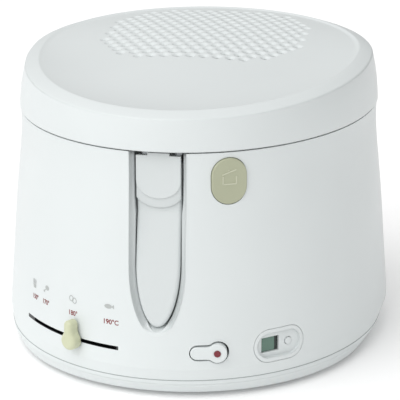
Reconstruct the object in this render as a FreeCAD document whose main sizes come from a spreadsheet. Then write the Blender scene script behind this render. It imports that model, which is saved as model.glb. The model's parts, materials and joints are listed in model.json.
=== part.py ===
import FreeCAD, Part
import math
import os
from collections import namedtuple
from types import SimpleNamespace

# Deep fryer with an egg-shaped, flared casing, a tilted and dished lid,
# a folding basket handle in a front channel, and controls along the foot.
# Frame: +Z up, front faces -Y, origin at the middle of the footprint. Millimetres.

Vector = FreeCAD.Vector
Placement = FreeCAD.Placement

# Driving dimensions. "Front" and "rear" are reaches from the rim's widest line.
SIZES = [
    ("rim_height", 185), ("rim_half_width", 140), ("rim_front", 180), ("rim_rear", 131),
    ("flare_top", 165), ("widest_height", 24), ("flare_bow", 0.06), ("flare_steps", 4),
    ("side_flare", 12), ("front_flare", 8), ("rear_flare", 9),
    ("crease_height", 12), ("crease_half_width", 147), ("crease_front", 185.5),
    ("crease_rear", 122), ("crease_shift", -18),
    ("foot_height", 4), ("base_half_width", 139), ("base_front", 180), ("base_rear", 105),
    ("base_shift", -35), ("base_floor", 2.5), ("wall", 3), ("deck", 3),
    ("foot_radius", 11), ("foot_spread", 78), ("foot_front", 125), ("foot_rear", 60),
    ("foot_recess", 2), ("screw_head_radius", 4), ("screw_head", 1.5), ("screw_radius", 1.8),
    ("screw_length", 9), ("screw_play", 0.05),
    ("seat_gap", 0.3), ("slide_gap", 0.4), ("pin_play", 0.05),
    ("channel_width", 35.6), ("channel_bottom", 52), ("channel_curve", 50), ("channel_floor", 156),
    ("ramp_top", 68), ("ramp_reach", 30),
    ("tank_half_width", 116), ("tank_front", 146), ("tank_rear", 108), ("tank_bottom", 62),
    ("tank_wall", 1.5), ("tank_flange", 5), ("tank_play", 1), ("tank_round", 16),
    ("tank_corner_steps", 3),
    ("element_radius", 74), ("element_tube", 4), ("element_sweep", 325), ("terminal_drop", 18),
    ("plate_outer", 95), ("plate_inner", 52), ("plate_thickness", 1),
    ("cutout_radius", 8), ("cutout_height", 6),
    ("lever_x", 5.6), ("lever_front", 48), ("lever_radius", 139.7), ("lever_angle", 30),
    ("lever_height", 36.2), ("lever_thickness", 1.6), ("lever_width", 8), ("lever_hub", 9),
    ("shaft_radius", 3), ("collar_radius", 6), ("thermostat_width", 44),
    ("thermostat_depth", 32), ("thermostat_height", 20),
    ("slot_left", 51.7), ("slot_right", 15.0), ("slot_height", 2.8),
    ("knob_low_radius", 7), ("knob_top_radius", 3.9), ("knob_length", 12), ("knob_proud", 8),
    ("knob_waist", 7), ("knob_rise", 6), ("knob_stand_off", 2.2), ("knob_round", 3),
    ("button_x", 50), ("button_height", 164), ("button_wide", 26), ("button_tall", 34),
    ("button_proud", 1.5), ("button_depth", 9), ("guide_wall", 1.6), ("guide_depth", 12),
    ("hook_wide", 8), ("hook_tall", 8), ("hook_length", 4), ("hook_rise", 8),
    ("catch_wide", 10), ("catch_thickness", 2.5), ("catch_depth", 17.5), ("catch_drop", 13),
    ("catch_slot_play", 2.5),
    ("rocker_x", 37), ("control_height", 37), ("rocker_small", 4.8), ("rocker_large", 7.2),
    ("rocker_span", 15), ("rocker_waist", 4), ("rocker_round", 0.8), ("rocker_proud", 2),
    ("rocker_depth", 6), ("rocker_axis", 4),
    ("rocker_tilt", 7), ("rocker_play", 1.2), ("lens_radius", 2.45), ("lens_depth", 3),
    ("lens_proud", 0.5), ("switch_wide", 36), ("switch_tall", 25), ("switch_front", 8.5),
    ("switch_back", 24), ("switch_rim", 2),
    ("timer_x", 86), ("timer_wide", 43), ("timer_tall", 25), ("timer_border", 3),
    ("timer_recess", 3), ("timer_depth", 9), ("window_wide", 14.5), ("window_tall", 10.9),
    ("window_offset", -6.5), ("window_recess", 1.5), ("timer_key_radius", 2.7),
    ("timer_key_offset", 9), ("timer_key_proud", 0.8), ("timer_key_depth", 4.2),
    ("board_thickness", 1.6),
    ("lid_gap", 0.4), ("lid_proud", 0.7), ("lid_wall", 2.2), ("lid_edge_height", 222.3),
    ("lid_tilt", 0.0734), ("lid_half_width", 135.7), ("lid_front", 178.6), ("lid_rear", 126.6),
    ("lid_front_width", 80), ("lid_front_seam", 0.05),
    ("lid_bow", 1.1), ("ridge_inset", 10.5), ("ridge_rise", 3.8), ("ridge_crest", 0.8),
    ("dish_depth", 7), ("dish_half_width", 112), ("dish_front", 148), ("dish_rear", 110),
    ("vent_half_width", 82.6), ("vent_half_depth", 68), ("vent_rear", 38), ("vent_seam", 0.2),
    ("vent_border", 3), ("vent_pitch", 11.5), ("vent_row", 10), ("vent_radius", 2.7),
    ("liner_half_width", 110), ("liner_front", 130), ("liner_rear", 102), ("liner_rise", 4),
    ("liner_thickness", 1.5), ("liner_hole", 9), ("liner_ring", 62), ("liner_holes", 10),
    ("post_radius", 4.5), ("post_x", 84), ("post_front", 62), ("post_rear", 58),
    ("pad_half_width", 62), ("pad_half_depth", 46), ("pad_rear", 30), ("pad_height", 10),
    ("cover_wall", 1.8), ("cover_hole", 8),
    ("hinge_rear", 139), ("hinge_height", 189), ("hinge_barrel", 6), ("hinge_pin_radius", 3),
    ("hinge_lug_wide", 60), ("hinge_ear", 10), ("hinge_side_gap", 0.5), ("hinge_plate_bottom", 160),
    ("hinge_plate_top", 181), ("gland_radius", 7), ("gland_bore", 4), ("gland_height", 40),
    ("gland_proud", 4), ("gland_length", 22), ("block_wide", 34), ("block_deep", 16),
    ("block_tall", 14), ("block_rear", 78),
    ("pivot_front", 168), ("pivot_height", 176), ("pivot_pin_radius", 2), ("arm_wide", 6),
    ("arm_thickness", 2.5), ("arm_inner", 8.5), ("lug_radius", 4), ("strap_gap", 2), ("leg_gap", 4),
    ("handle_wide", 32.6), ("handle_recess", 5), ("lock_thickness", 2.5), ("lock_bottom", 145),
    ("lock_notch", 2), ("lock_tongue", 16), ("lock_travel", 4), ("lock_rib", 6), ("lock_sag", 5.5),
    ("band_tall", 5), ("band_step", 1.2), ("crest_curve", 13),
    ("grip_top_gap", 1), ("grip_tip", 55), ("grip_curve", 48), ("grip_bulge", 180),
    ("grip_thickness", 14), ("grip_tip_front", 185), ("grip_tip_thickness", 3.2),
    ("grip_back_inset", 1), ("grip_round", 2.5),
    ("hub_radius", 6.5),
    ("basket_half_width", 100), ("basket_rear", 92), ("basket_top", 165), ("basket_bottom", 75),
    ("basket_taper", 8), ("basket_wire", 2.2), ("basket_bars", 32), ("basket_rings", 4),
    ("basket_grid", 22),
]

doc = FreeCAD.newDocument("DeepFryer")
sheet = doc.addObject("Spreadsheet::Sheet", "Sizes")
for row, (alias, value) in enumerate(SIZES, start=1):
    sheet.set(f"A{row}", str(value))
    sheet.setAlias(f"A{row}", alias)
doc.recompute()
S = SimpleNamespace(**{alias: float(sheet.get(alias)) for alias, value in SIZES})

# The widest line lies this far behind the middle of the footprint
WIDE_Y = (S.rim_front + S.front_flare - S.hinge_rear - S.hinge_barrel) / 2
LID_BOTTOM = S.rim_height + S.lid_gap
TANK_TOP = S.rim_height + S.tank_wall

nodes = []


def add_node(thing, label):
    """Register a finished sub-part under its own name."""
    thing.Label = label
    nodes.append(thing)
    return thing


def add_feature(label, shape, placement=None):
    """A sub-part whose form is a loft or a cut that no primitive gives."""
    thing = doc.addObject("Part::Feature", label)
    thing.Shape = shape
    if placement:
        thing.Placement = placement.multiply(shape.Placement)
    return add_node(thing, label)


def bound(kind, name, sizes):
    """A parametric object whose properties follow expressions on the sheet."""
    thing = doc.addObject(kind, name)
    for prop, expression in sizes.items():
        thing.setExpression(prop, expression)
    return thing


# Egg outlines: two half ellipses that meet on the widest line

Egg = namedtuple("Egg", "half_width front rear shift")


def grown(egg, amount):
    return Egg(egg.half_width + amount, egg.front + amount, egg.rear + amount, egg.shift)


# Handle length of the cubic curve that follows a quarter of an ellipse
QUARTER = 4 / 3 * (math.sqrt(2) - 1)


def quarter_ellipse(half_width, reach, side):
    """Quarter from the widest line round to the middle, on the right (1) or the left (-1)."""
    curve = Part.BezierCurve()
    curve.setPoles([
        Vector(side * half_width, 0, 0),
        Vector(side * half_width, QUARTER * reach, 0),
        Vector(side * QUARTER * half_width, reach, 0),
        Vector(0, reach, 0),
    ])
    return curve.toShape()


def egg_wire(egg, z, tilt=0.0):
    """Closed egg outline at height z; tilt is the rise per millimetre towards the rear."""
    rear_reach = egg.rear - egg.shift
    front_reach = -egg.front - egg.shift
    wire = Part.Wire([
        quarter_ellipse(egg.half_width, rear_reach, 1),
        quarter_ellipse(egg.half_width, rear_reach, -1),
        quarter_ellipse(egg.half_width, front_reach, -1),
        quarter_ellipse(egg.half_width, front_reach, 1),
    ])
    wire.translate(Vector(0, WIDE_Y + egg.shift, z))
    if tilt:
        wire.rotate(Vector(0, WIDE_Y, z), Vector(1, 0, 0), math.degrees(math.atan(tilt)))
    return wire


def egg_loft(sections, ruled=False):
    """Solid through (egg, height) or (egg, height, tilt) sections."""
    return Part.makeLoft([egg_wire(*section) for section in sections], True, ruled)


def slab(egg, bottom, top):
    """Straight egg-shaped prism."""
    return egg_loft([(egg, bottom), (egg, top)], True)


CREASE_EGG = Egg(S.crease_half_width, S.crease_front, S.crease_rear, S.crease_shift)
BASE_EGG = Egg(S.base_half_width, S.base_front, S.base_rear, S.base_shift)
TANK_EGG = Egg(S.tank_half_width, S.tank_front, S.tank_rear, 0)
LID_EGG = Egg(S.lid_half_width, S.lid_front, S.lid_rear, 0)
DISH_EGG = Egg(S.dish_half_width, S.dish_front, S.dish_rear, 0)
LINER_EGG = Egg(S.liner_half_width, S.liner_front, S.liner_rear, 0)
RIM_EGG = Egg(S.rim_half_width, S.rim_front, S.rim_rear, 0)


def casing_egg(z):
    """Casing outline at height z: straight under the rim, then flaring to the widest level."""
    part_way = max(0.0, (S.flare_top - z) / (S.flare_top - S.widest_height))
    share = part_way + S.flare_bow * math.sin(math.pi * part_way)
    return Egg(
        S.rim_half_width + share * S.side_flare,
        S.rim_front + share * S.front_flare,
        S.rim_rear + share * S.rear_flare,
        0,
    )


def casing_solid(grow, top):
    """Casing form from the crease up to a given height, grown or shrunk all round."""
    steps = int(S.flare_steps)
    step = (S.flare_top - S.widest_height) / steps
    levels = [S.widest_height + index * step for index in range(steps + 1)] + [top]
    flared = egg_loft([(grown(casing_egg(z), grow), z) for z in levels])
    tucked = egg_loft(
        [
            (grown(CREASE_EGG, grow), S.crease_height),
            (grown(casing_egg(S.widest_height), grow), S.widest_height),
        ],
        True,
    )
    return flared.fuse(tucked)


def wall_frame(x, z):
    """Placement on the front wall: local X right, local Y up, local Z straight out."""
    egg = casing_egg(z)
    y = -egg.front * math.sqrt(1 - (x / egg.half_width) ** 2)
    angle = math.atan2(x / egg.half_width**2, -y / egg.front**2)
    return turned_frame(Vector(x, WIDE_Y + y, z), angle)


def turned_frame(point, angle):
    """Placement whose local Z points out, turned right of the front by an angle."""
    right = Vector(math.cos(angle), math.sin(angle), 0)
    out = Vector(math.sin(angle), -math.cos(angle), 0)
    return Placement(point, FreeCAD.Rotation(right, Vector(0, 0, 1), out, "ZXY"))


def placed(shape, placement):
    copy = shape.copy()
    copy.Placement = placement.multiply(copy.Placement)
    return copy


def pear_prism(left_radius, right_radius, span, low, high):
    """Prism round two circles and their common tangents, circles at -span/2 and +span/2."""
    lean = math.acos((left_radius - right_radius) / span)

    def rim_point(centre, radius, angle):
        return Vector(centre + radius * math.cos(angle), radius * math.sin(angle), low)

    left = -span / 2
    right = span / 2
    left_arc = Part.Arc(
        rim_point(left, left_radius, lean),
        rim_point(left, left_radius, math.pi),
        rim_point(left, left_radius, -lean),
    ).toShape()
    right_arc = Part.Arc(
        rim_point(right, right_radius, -lean),
        rim_point(right, right_radius, 0),
        rim_point(right, right_radius, lean),
    ).toShape()
    lower = Part.makeLine(rim_point(left, left_radius, -lean), rim_point(right, right_radius, -lean))
    upper = Part.makeLine(rim_point(right, right_radius, lean), rim_point(left, left_radius, lean))
    face = Part.Face(Part.Wire([left_arc, lower, right_arc, upper]))
    return face.extrude(Vector(0, 0, high - low))


def edges_above(shape, level):
    """Edges that lie wholly above a level, such as those round a prism's front."""
    return [
        edge for edge in shape.Edges if min(vertex.Z for vertex in edge.Vertexes) > level
    ]


def keyhole_prism(small, large, span, waist_radius, low, high):
    """Bar with a round left end, running in a soft waist into a larger round end on the right."""
    left = -span / 2
    right = span / 2
    bar = centred_box(span, 2 * small, high - low, 0, 0, low)
    ends = [
        Part.makeCylinder(small, high - low, Vector(left, 0, low)),
        Part.makeCylinder(large, high - low, Vector(right, 0, low)),
    ]
    prism = bar.multiFuse(ends).removeSplitter()
    waist = [
        edge for edge in prism.Edges
        if abs(edge.BoundBox.ZLength - (high - low)) < S.seat_gap
        and edge.BoundBox.XLength < S.seat_gap
        and left + small < edge.BoundBox.XMin < right
    ]
    return prism.makeFillet(waist_radius, waist)


def rocker_prism(grow, low, high):
    return keyhole_prism(
        S.rocker_small + grow, S.rocker_large + grow, S.rocker_span, S.rocker_waist - grow, low, high
    )


def u_prism(half_wide, top, bottom, curve, low, high):
    """Prism of a U outline: straight sides, and half an ellipse of a given height at the bottom."""
    curve_top = bottom + curve
    corners = [
        Vector(-half_wide, curve_top, low), Vector(-half_wide, top, low),
        Vector(half_wide, top, low), Vector(half_wide, curve_top, low),
    ]
    edges = [Part.makeLine(start, end) for start, end in zip(corners, corners[1:])]
    for side in (1, -1):
        quarter = quarter_ellipse(half_wide, -curve, side)
        quarter.translate(Vector(0, curve_top, low))
        edges.append(quarter)
    face = Part.Face(Part.Wire(edges))
    return face.extrude(Vector(0, 0, high - low))


def stadium_prism(wide, tall, low, high):
    """Prism with round ends, lying along its longer side."""
    radius = min(wide, tall) / 2
    prism = pear_prism(radius, radius, max(wide, tall) - 2 * radius, low, high)
    if tall > wide:
        prism.rotate(Vector(), Vector(0, 0, 1), 90)
    return prism


def centred_box(wide, deep, tall, centre_x, centre_y, bottom):
    corner = Vector(centre_x - wide / 2, centre_y - deep / 2, bottom)
    return Part.makeBox(wide, deep, tall, corner)


def oval_prism(half_width, half_depth, centre_y, bottom, top):
    egg = Egg(half_width, half_depth, half_depth, 0)
    prism = slab(egg, bottom, top)
    prism.translate(Vector(0, centre_y, 0))
    return prism


def profile_prism(points, half_wide):
    """Prism along X from a profile of (y, z) points, centred on x = 0."""
    corners = [Vector(-half_wide, WIDE_Y + y, z) for y, z in points]
    face = Part.Face(Part.makePolygon(corners + corners[:1]))
    return face.extrude(Vector(2 * half_wide, 0, 0))


def cross_pin(radius, half_wide, y, z):
    return Part.makeCylinder(radius, 2 * half_wide, Vector(-half_wide, WIDE_Y + y, z), Vector(1, 0, 0))


BUTTON_FRAME = wall_frame(S.button_x, S.button_height)
ROCKER_FRAME = wall_frame(S.rocker_x, S.control_height)
TIMER_FRAME = wall_frame(S.timer_x, S.control_height)
LEVER_PIVOT = Vector(S.lever_x, WIDE_Y - S.lever_front, 0)


# Casing, base pan and feet


def channel_form(grow):
    """Space of the handle channel: U outline seen from the front, ramped floor from the side."""
    half_wide = S.channel_width / 2 + grow
    top = S.rim_height + 2 * S.wall
    outline = u_prism(half_wide, top, S.channel_bottom - grow, S.channel_curve, 0, S.rim_front)
    facing = turned_frame(Vector(0, WIDE_Y - S.channel_floor + S.wall + S.rim_front / 4, 0), 0)
    outline = placed(outline, facing)
    floor = -S.channel_floor + grow
    outside = -2 * S.rim_front
    side = profile_prism(
        [
            (outside, top),
            (floor, top),
            (floor, S.ramp_top),
            (floor - S.ramp_reach, S.channel_bottom - grow),
            (outside, S.channel_bottom - grow),
        ],
        half_wide,
    )
    return outline.common(side)


def slot_sector(inner, outer, low, high):
    """Ring sector about the lever's pivot, as wide as the thermostat slot."""
    sweep = S.slot_left - S.slot_right
    base = Vector(LEVER_PIVOT.x, LEVER_PIVOT.y, low)
    up = Vector(0, 0, 1)
    ring = Part.makeCylinder(outer, high - low, base, up, sweep)
    ring = ring.cut(Part.makeCylinder(inner, high - low, base, up, 360))
    ring.rotate(base, up, 270 - S.slot_left)
    return ring


def make_casing():
    outer = casing_solid(0, S.rim_height)
    inner = casing_solid(-S.wall, S.rim_height - S.deck)
    recess = channel_form(S.wall).common(outer).cut(channel_form(0))
    add_feature("handle_recess", recess.removeSplitter())
    shell = outer.cut(inner).cut(channel_form(S.wall + S.screw_play))
    reach = S.button_depth + S.wall
    slot_low = S.control_height - S.slot_height / 2
    cutters = [
        slab(grown(TANK_EGG, S.tank_play), S.rim_height - 2 * S.deck, S.rim_height + S.deck),
        placed(
            stadium_prism(
                S.button_wide + 2 * S.slide_gap, S.button_tall + 2 * S.slide_gap, -reach, reach
            ),
            BUTTON_FRAME,
        ),
        placed(rocker_prism(S.rocker_play, -reach, reach), ROCKER_FRAME),
        placed(
            stadium_prism(
                S.timer_wide + 2 * S.seat_gap, S.timer_tall + 2 * S.seat_gap, -reach, reach
            ),
            TIMER_FRAME,
        ),
        slot_sector(
            S.lever_radius - 6 * S.wall,
            S.lever_radius + 6 * S.wall,
            slot_low,
            slot_low + S.slot_height,
        ),
        placed(catch_form(S.catch_slot_play), BUTTON_FRAME),
        gland_tube(S.gland_radius + S.seat_gap, 2 * S.gland_length),
    ]
    for cutter in cutters:
        shell = shell.cut(cutter)
    add_feature("outer_casing", shell.removeSplitter())
    return outer


def gland_tube(radius, length):
    """Cylinder through the rear wall, pointing forwards from outside the casing."""
    rear = casing_egg(S.gland_height).rear + S.gland_proud
    start = Vector(0, WIDE_Y + rear, S.gland_height)
    return Part.makeCylinder(radius, length, start, Vector(0, -1, 0))


def foot_points():
    for side in (-1, 1):
        yield Vector(side * S.foot_spread, WIDE_Y - S.foot_front, 0)
        yield Vector(side * S.foot_spread, WIDE_Y + S.foot_rear, 0)


def make_base():
    outer = egg_loft([(BASE_EGG, S.foot_height), (CREASE_EGG, S.crease_height)], True)
    floor = S.foot_height + S.base_floor
    inner = egg_loft(
        [(grown(BASE_EGG, -S.wall), floor), (grown(CREASE_EGG, -S.wall), S.crease_height)], True
    )
    pan = outer.cut(inner)
    bore = S.screw_radius + S.screw_play
    for point in foot_points():
        pan = pan.cut(Part.makeCylinder(bore, S.crease_height, point))
    add_feature("base_pan", pan)


def make_feet():
    for index, point in enumerate(foot_points(), start=1):
        pad = bound("Part::Cylinder", f"FootPad{index}", {
            "Radius": "Sizes.foot_radius", "Height": "Sizes.foot_height"})
        recess = bound("Part::Cylinder", f"FootRecess{index}", {
            "Radius": "Sizes.screw_head_radius + Sizes.seat_gap", "Height": "Sizes.foot_recess"})
        bore = bound("Part::Cylinder", f"FootBore{index}", {
            "Radius": "Sizes.screw_radius + Sizes.screw_play", "Height": "Sizes.foot_height"})
        hollow = doc.addObject("Part::Fuse", f"FootHollow{index}")
        hollow.Base = recess
        hollow.Tool = bore
        foot = doc.addObject("Part::Cut", f"Foot{index}")
        foot.Base = pad
        foot.Tool = hollow
        foot.Placement.Base = point
        add_node(foot, f"foot_{index}")
        head = bound("Part::Cylinder", f"ScrewHead{index}", {
            "Radius": "Sizes.screw_head_radius", "Height": "Sizes.screw_head"})
        shank = bound("Part::Cylinder", f"ScrewShank{index}", {
            "Radius": "Sizes.screw_radius", "Height": "Sizes.screw_length"})
        screw = doc.addObject("Part::Fuse", f"FootScrew{index}")
        screw.Base = head
        screw.Tool = shank
        screw.Placement.Base = point
        screw.setExpression("Placement.Base.z", "Sizes.foot_recess - Sizes.screw_head")
        add_node(screw, f"foot_screw_{index}")


# Oil tank and heating


def make_tank():
    def bowl(shrink, lift, top):
        """Tank form with a rounded lower corner, shrunk and lifted for the inside."""
        corner_steps = int(S.tank_corner_steps)
        sections = []
        for step in range(corner_steps + 1):
            turn = math.pi / 2 * step / corner_steps
            inset = S.tank_round * (1 - math.sin(turn))
            rise = S.tank_round * (1 - math.cos(turn))
            sections.append((grown(TANK_EGG, -shrink - inset), S.tank_bottom + lift + rise))
        sections.append((grown(TANK_EGG, -shrink), top))
        return egg_loft(sections, True)

    flange = slab(grown(TANK_EGG, S.tank_flange), S.rim_height, TANK_TOP)
    tank = bowl(0, 0, TANK_TOP).fuse(flange)
    tank = tank.cut(bowl(S.tank_wall, S.tank_wall, TANK_TOP + S.deck))
    add_feature("oil_tank", tank.removeSplitter())


def make_heating():
    middle_y = WIDE_Y + (S.tank_rear - S.tank_front) / 2
    tube_z = "Sizes.tank_bottom - Sizes.seat_gap - Sizes.element_tube"
    ring = bound("Part::Torus", "ElementRing", {
        "Radius1": "Sizes.element_radius", "Radius2": "Sizes.element_tube",
        "Angle3": "Sizes.element_sweep", "Placement.Base.z": tube_z})
    ends = []
    for index, angle in enumerate((0, S.element_sweep)):
        turn = math.radians(angle)
        end = bound("Part::Cylinder", f"ElementEnd{index}", {
            "Radius": "Sizes.element_tube", "Height": "Sizes.terminal_drop",
            "Placement.Base.z": f"{tube_z} - Sizes.terminal_drop"})
        end.Placement.Base.x = S.element_radius * math.cos(turn)
        end.Placement.Base.y = S.element_radius * math.sin(turn)
        ends.append(end)
    element = doc.addObject("Part::MultiFuse", "Element")
    element.Shapes = [ring] + ends
    element.Placement.Base.y = middle_y
    element.Placement.Rotation = FreeCAD.Rotation(Vector(0, 0, 1), 90 + (360 - S.element_sweep) / 2)
    add_node(element, "heating_element")

    disc = bound("Part::Cylinder", "PlateDisc", {
        "Radius": "Sizes.plate_outer", "Height": "Sizes.plate_thickness"})
    hole = bound("Part::Cylinder", "PlateHole", {
        "Radius": "Sizes.plate_inner", "Height": "Sizes.plate_thickness"})
    notches = []
    for index in range(2):
        notch = bound("Part::Cylinder", f"PlateNotch{index}", {
            "Radius": "Sizes.element_tube + Sizes.tank_play", "Height": "Sizes.plate_thickness"})
        turn = math.radians(90 + (index * 2 - 1) * (360 - S.element_sweep) / 2)
        notch.Placement.Base = Vector(
            S.element_radius * math.cos(turn), S.element_radius * math.sin(turn), 0
        )
        notches.append(notch)
    openings = doc.addObject("Part::MultiFuse", "PlateOpenings")
    openings.Shapes = [hole] + notches
    plate = doc.addObject("Part::Cut", "ElementPlate")
    plate.Base = disc
    plate.Tool = openings
    plate.Placement.Base.y = middle_y
    plate.setExpression(
        "Placement.Base.z",
        "Sizes.tank_bottom - 2 * Sizes.seat_gap - 2 * Sizes.element_tube - Sizes.plate_thickness",
    )
    add_node(plate, "element_plate")

    cutout = bound("Part::Cylinder", "Cutout", {
        "Radius": "Sizes.cutout_radius", "Height": "Sizes.cutout_height",
        "Placement.Base.z": "Sizes.tank_bottom - Sizes.seat_gap - Sizes.cutout_height"})
    cutout.Placement.Base.y = middle_y
    add_node(cutout, "thermal_cutout")


# Thermostat: body on the pan, lever through the slot, knob outside


def make_thermostat():
    floor = S.foot_height + S.base_floor
    case = bound("Part::Box", "ThermostatBox", {
        "Length": "Sizes.thermostat_width", "Width": "Sizes.thermostat_depth",
        "Height": "Sizes.thermostat_height"})
    case.Placement.Base = Vector(-S.thermostat_width / 2, -S.thermostat_depth / 2, 0)
    collar = bound("Part::Cylinder", "ThermostatCollar", {
        "Radius": "Sizes.collar_radius",
        "Height": "Sizes.lever_height - Sizes.seat_gap - Sizes.foot_height - Sizes.base_floor"})
    shaft = bound("Part::Cylinder", "ThermostatShaft", {
        "Radius": "Sizes.shaft_radius",
        "Height": "Sizes.lever_height + 2 * Sizes.lever_thickness"
                  " - Sizes.foot_height - Sizes.base_floor"})
    thermostat = doc.addObject("Part::MultiFuse", "Thermostat")
    thermostat.Shapes = [case, collar, shaft]
    thermostat.Placement.Base = Vector(LEVER_PIVOT.x, LEVER_PIVOT.y, floor)
    add_node(thermostat, "thermostat_body")

    # Lever as a padded sketch: hub, arm and bore, drawn along +X and then turned into place
    body = doc.addObject("PartDesign::Body", "LeverBody")
    sketch = body.newObject("Sketcher::SketchObject", "LeverSketch")
    planes = {plane.Role: plane for plane in body.Origin.OriginFeatures}
    sketch.AttachmentSupport = [(planes["XY_Plane"], "")]
    sketch.MapMode = "FlatFace"
    half = S.lever_width / 2
    joint_x = math.sqrt(S.lever_hub**2 - half**2)
    tip = S.lever_radius + S.knob_stand_off
    hub_arc = Part.Arc(Vector(joint_x, half, 0), Vector(-S.lever_hub, 0, 0), Vector(joint_x, -half, 0))
    corners = [
        Vector(joint_x, -half, 0), Vector(tip, -half, 0), Vector(tip, half, 0), Vector(joint_x, half, 0),
    ]
    sketch.addGeometry(hub_arc)
    for start, end in zip(corners, corners[1:]):
        sketch.addGeometry(Part.LineSegment(start, end))
    bore_circle = Part.Circle(Vector(), Vector(0, 0, 1), S.shaft_radius + S.pin_play)
    sketch.addGeometry(bore_circle)
    pad = body.newObject("PartDesign::Pad", "LeverPad")
    pad.Profile = sketch
    pad.setExpression("Length", "Sizes.lever_thickness")
    body.Placement = Placement(
        Vector(LEVER_PIVOT.x, LEVER_PIVOT.y, S.lever_height),
        FreeCAD.Rotation(Vector(0, 0, 1), 270 - S.lever_angle),
    )
    add_node(body, "thermostat_lever")

    angle = -math.radians(S.lever_angle)
    out = Vector(math.sin(angle), -math.cos(angle), 0)
    point = LEVER_PIVOT + out * S.lever_radius + Vector(0, 0, S.control_height + S.knob_rise)
    knob = keyhole_prism(
        S.knob_top_radius,
        S.knob_low_radius,
        S.knob_length,
        S.knob_waist,
        S.knob_stand_off,
        S.knob_stand_off + S.knob_proud,
    )
    knob = knob.makeFillet(S.knob_round, edges_above(knob, S.knob_proud))
    knob.rotate(Vector(), Vector(0, 0, 1), -90)
    add_feature("thermostat_knob", knob, turned_frame(point, angle))


# Release button, rocker switch and timer on the front wall


def make_release_button(deck_underside):
    button = stadium_prism(S.button_wide, S.button_tall, -S.button_depth, S.button_proud)
    button = button.makeFillet(S.button_proud / 2, edges_above(button, 0))
    add_feature("release_button", button, BUTTON_FRAME)

    hook = centred_box(
        S.hook_wide, S.hook_tall, S.hook_length, 0, S.hook_rise, -S.button_depth - S.hook_length
    )
    add_feature("latch_hook", hook, BUTTON_FRAME)

    bore_wide = S.button_wide + 2 * S.slide_gap
    bore_tall = S.button_tall + 2 * S.slide_gap
    front = -S.wall - 4 * S.seat_gap
    sleeve = stadium_prism(
        bore_wide + 2 * S.guide_wall, bore_tall + 2 * S.guide_wall, -S.guide_depth, front
    )
    sleeve = sleeve.cut(stadium_prism(bore_wide, bore_tall, -2 * S.guide_depth, 0))
    headroom = deck_underside - S.seat_gap - S.button_height
    trim = centred_box(
        2 * S.button_tall, S.button_tall, 2 * S.guide_depth,
        0, headroom + S.button_tall / 2, -2 * S.guide_depth
    )
    add_feature("button_guide", sleeve.cut(trim), BUTTON_FRAME)


def catch_form(grow):
    """Tongue behind the release button, from below the deck to above the lid's top."""
    bottom = S.rim_height - S.catch_drop - S.button_height
    tall = S.lid_edge_height + S.ridge_rise - S.button_height - bottom
    return centred_box(
        S.catch_wide + 2 * grow,
        tall,
        S.catch_thickness + 2 * grow,
        0,
        bottom + tall / 2,
        -S.catch_depth - S.catch_thickness - grow,
    )


def make_rocker():
    key = rocker_prism(0, -S.rocker_depth, S.rocker_proud)
    key = key.makeFillet(S.rocker_round, edges_above(key, 0))
    lens_x = S.rocker_span / 2
    lens_bottom = S.rocker_proud - S.lens_depth
    seat = Part.makeCylinder(
        S.lens_radius + S.pin_play, 2 * S.lens_depth, Vector(lens_x, 0, lens_bottom)
    )
    key = key.cut(seat)
    lens = Part.makeCylinder(
        S.lens_radius, S.lens_depth + S.lens_proud, Vector(lens_x, 0, lens_bottom)
    )
    pivot = Vector(0, 0, -S.rocker_axis)
    for shape in (key, lens):
        shape.rotate(pivot, Vector(0, 1, 0), -S.rocker_tilt)
    add_feature("rocker_key", key, ROCKER_FRAME)
    add_feature("pilot_lens", lens, ROCKER_FRAME)

    depth = S.switch_back - S.switch_front
    block = centred_box(S.switch_wide, S.switch_tall, depth, 0, 0, -S.switch_back)
    rim_top = -S.wall - 8 * S.seat_gap
    rim = centred_box(
        S.switch_wide, S.switch_tall, rim_top + S.switch_front, 0, 0, -S.switch_front
    )
    rim = rim.cut(
        centred_box(
            S.switch_wide - 2 * S.switch_rim, S.switch_tall - 2 * S.switch_rim, depth,
            0, 0, -S.switch_front
        )
    )
    post = centred_box(
        2 * S.switch_rim, S.rocker_small, S.switch_front - S.rocker_depth - S.seat_gap,
        0, 0, -S.switch_front
    )
    add_feature("switch_housing", block.fuse(rim).fuse(post).removeSplitter(), ROCKER_FRAME)


def make_timer(casing_outer):
    pod = stadium_prism(S.timer_wide, S.timer_tall, -S.timer_depth, S.timer_depth)
    pod = placed(pod, TIMER_FRAME).common(casing_outer)
    pod = placed(pod, TIMER_FRAME.inverse())
    inside_wide = S.timer_wide - 2 * S.timer_border
    inside_tall = S.timer_tall - 2 * S.timer_border
    pod = pod.cut(stadium_prism(inside_wide, inside_tall, -S.timer_recess, 2 * S.timer_depth))
    clear = 2 * S.seat_gap
    pod = pod.cut(
        centred_box(
            S.window_wide + clear, S.window_tall + clear, 2 * S.timer_depth,
            S.window_offset, 0, -S.timer_depth
        )
    )
    key_point = Vector(S.timer_key_offset, 0, -S.timer_depth)
    pod = pod.cut(
        Part.makeCylinder(S.timer_key_radius + S.seat_gap, 2 * S.timer_depth, key_point)
    )
    add_feature("timer_pod", pod, TIMER_FRAME)

    board_top = -S.timer_depth - S.seat_gap
    window_top = -S.timer_recess - S.window_recess
    window = centred_box(
        S.window_wide, S.window_tall, window_top - board_top, S.window_offset, 0, board_top
    )
    add_feature("lcd_window", window, TIMER_FRAME)
    board = centred_box(
        inside_wide, inside_tall, S.board_thickness, 0, 0, board_top - S.board_thickness
    )
    add_feature("timer_board", board, TIMER_FRAME)
    key_low = -S.timer_recess - S.timer_key_depth
    key = Part.makeCylinder(
        S.timer_key_radius,
        S.timer_key_depth + S.timer_key_proud,
        Vector(S.timer_key_offset, 0, key_low),
    )
    add_feature("timer_button", key, TIMER_FRAME)


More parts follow.
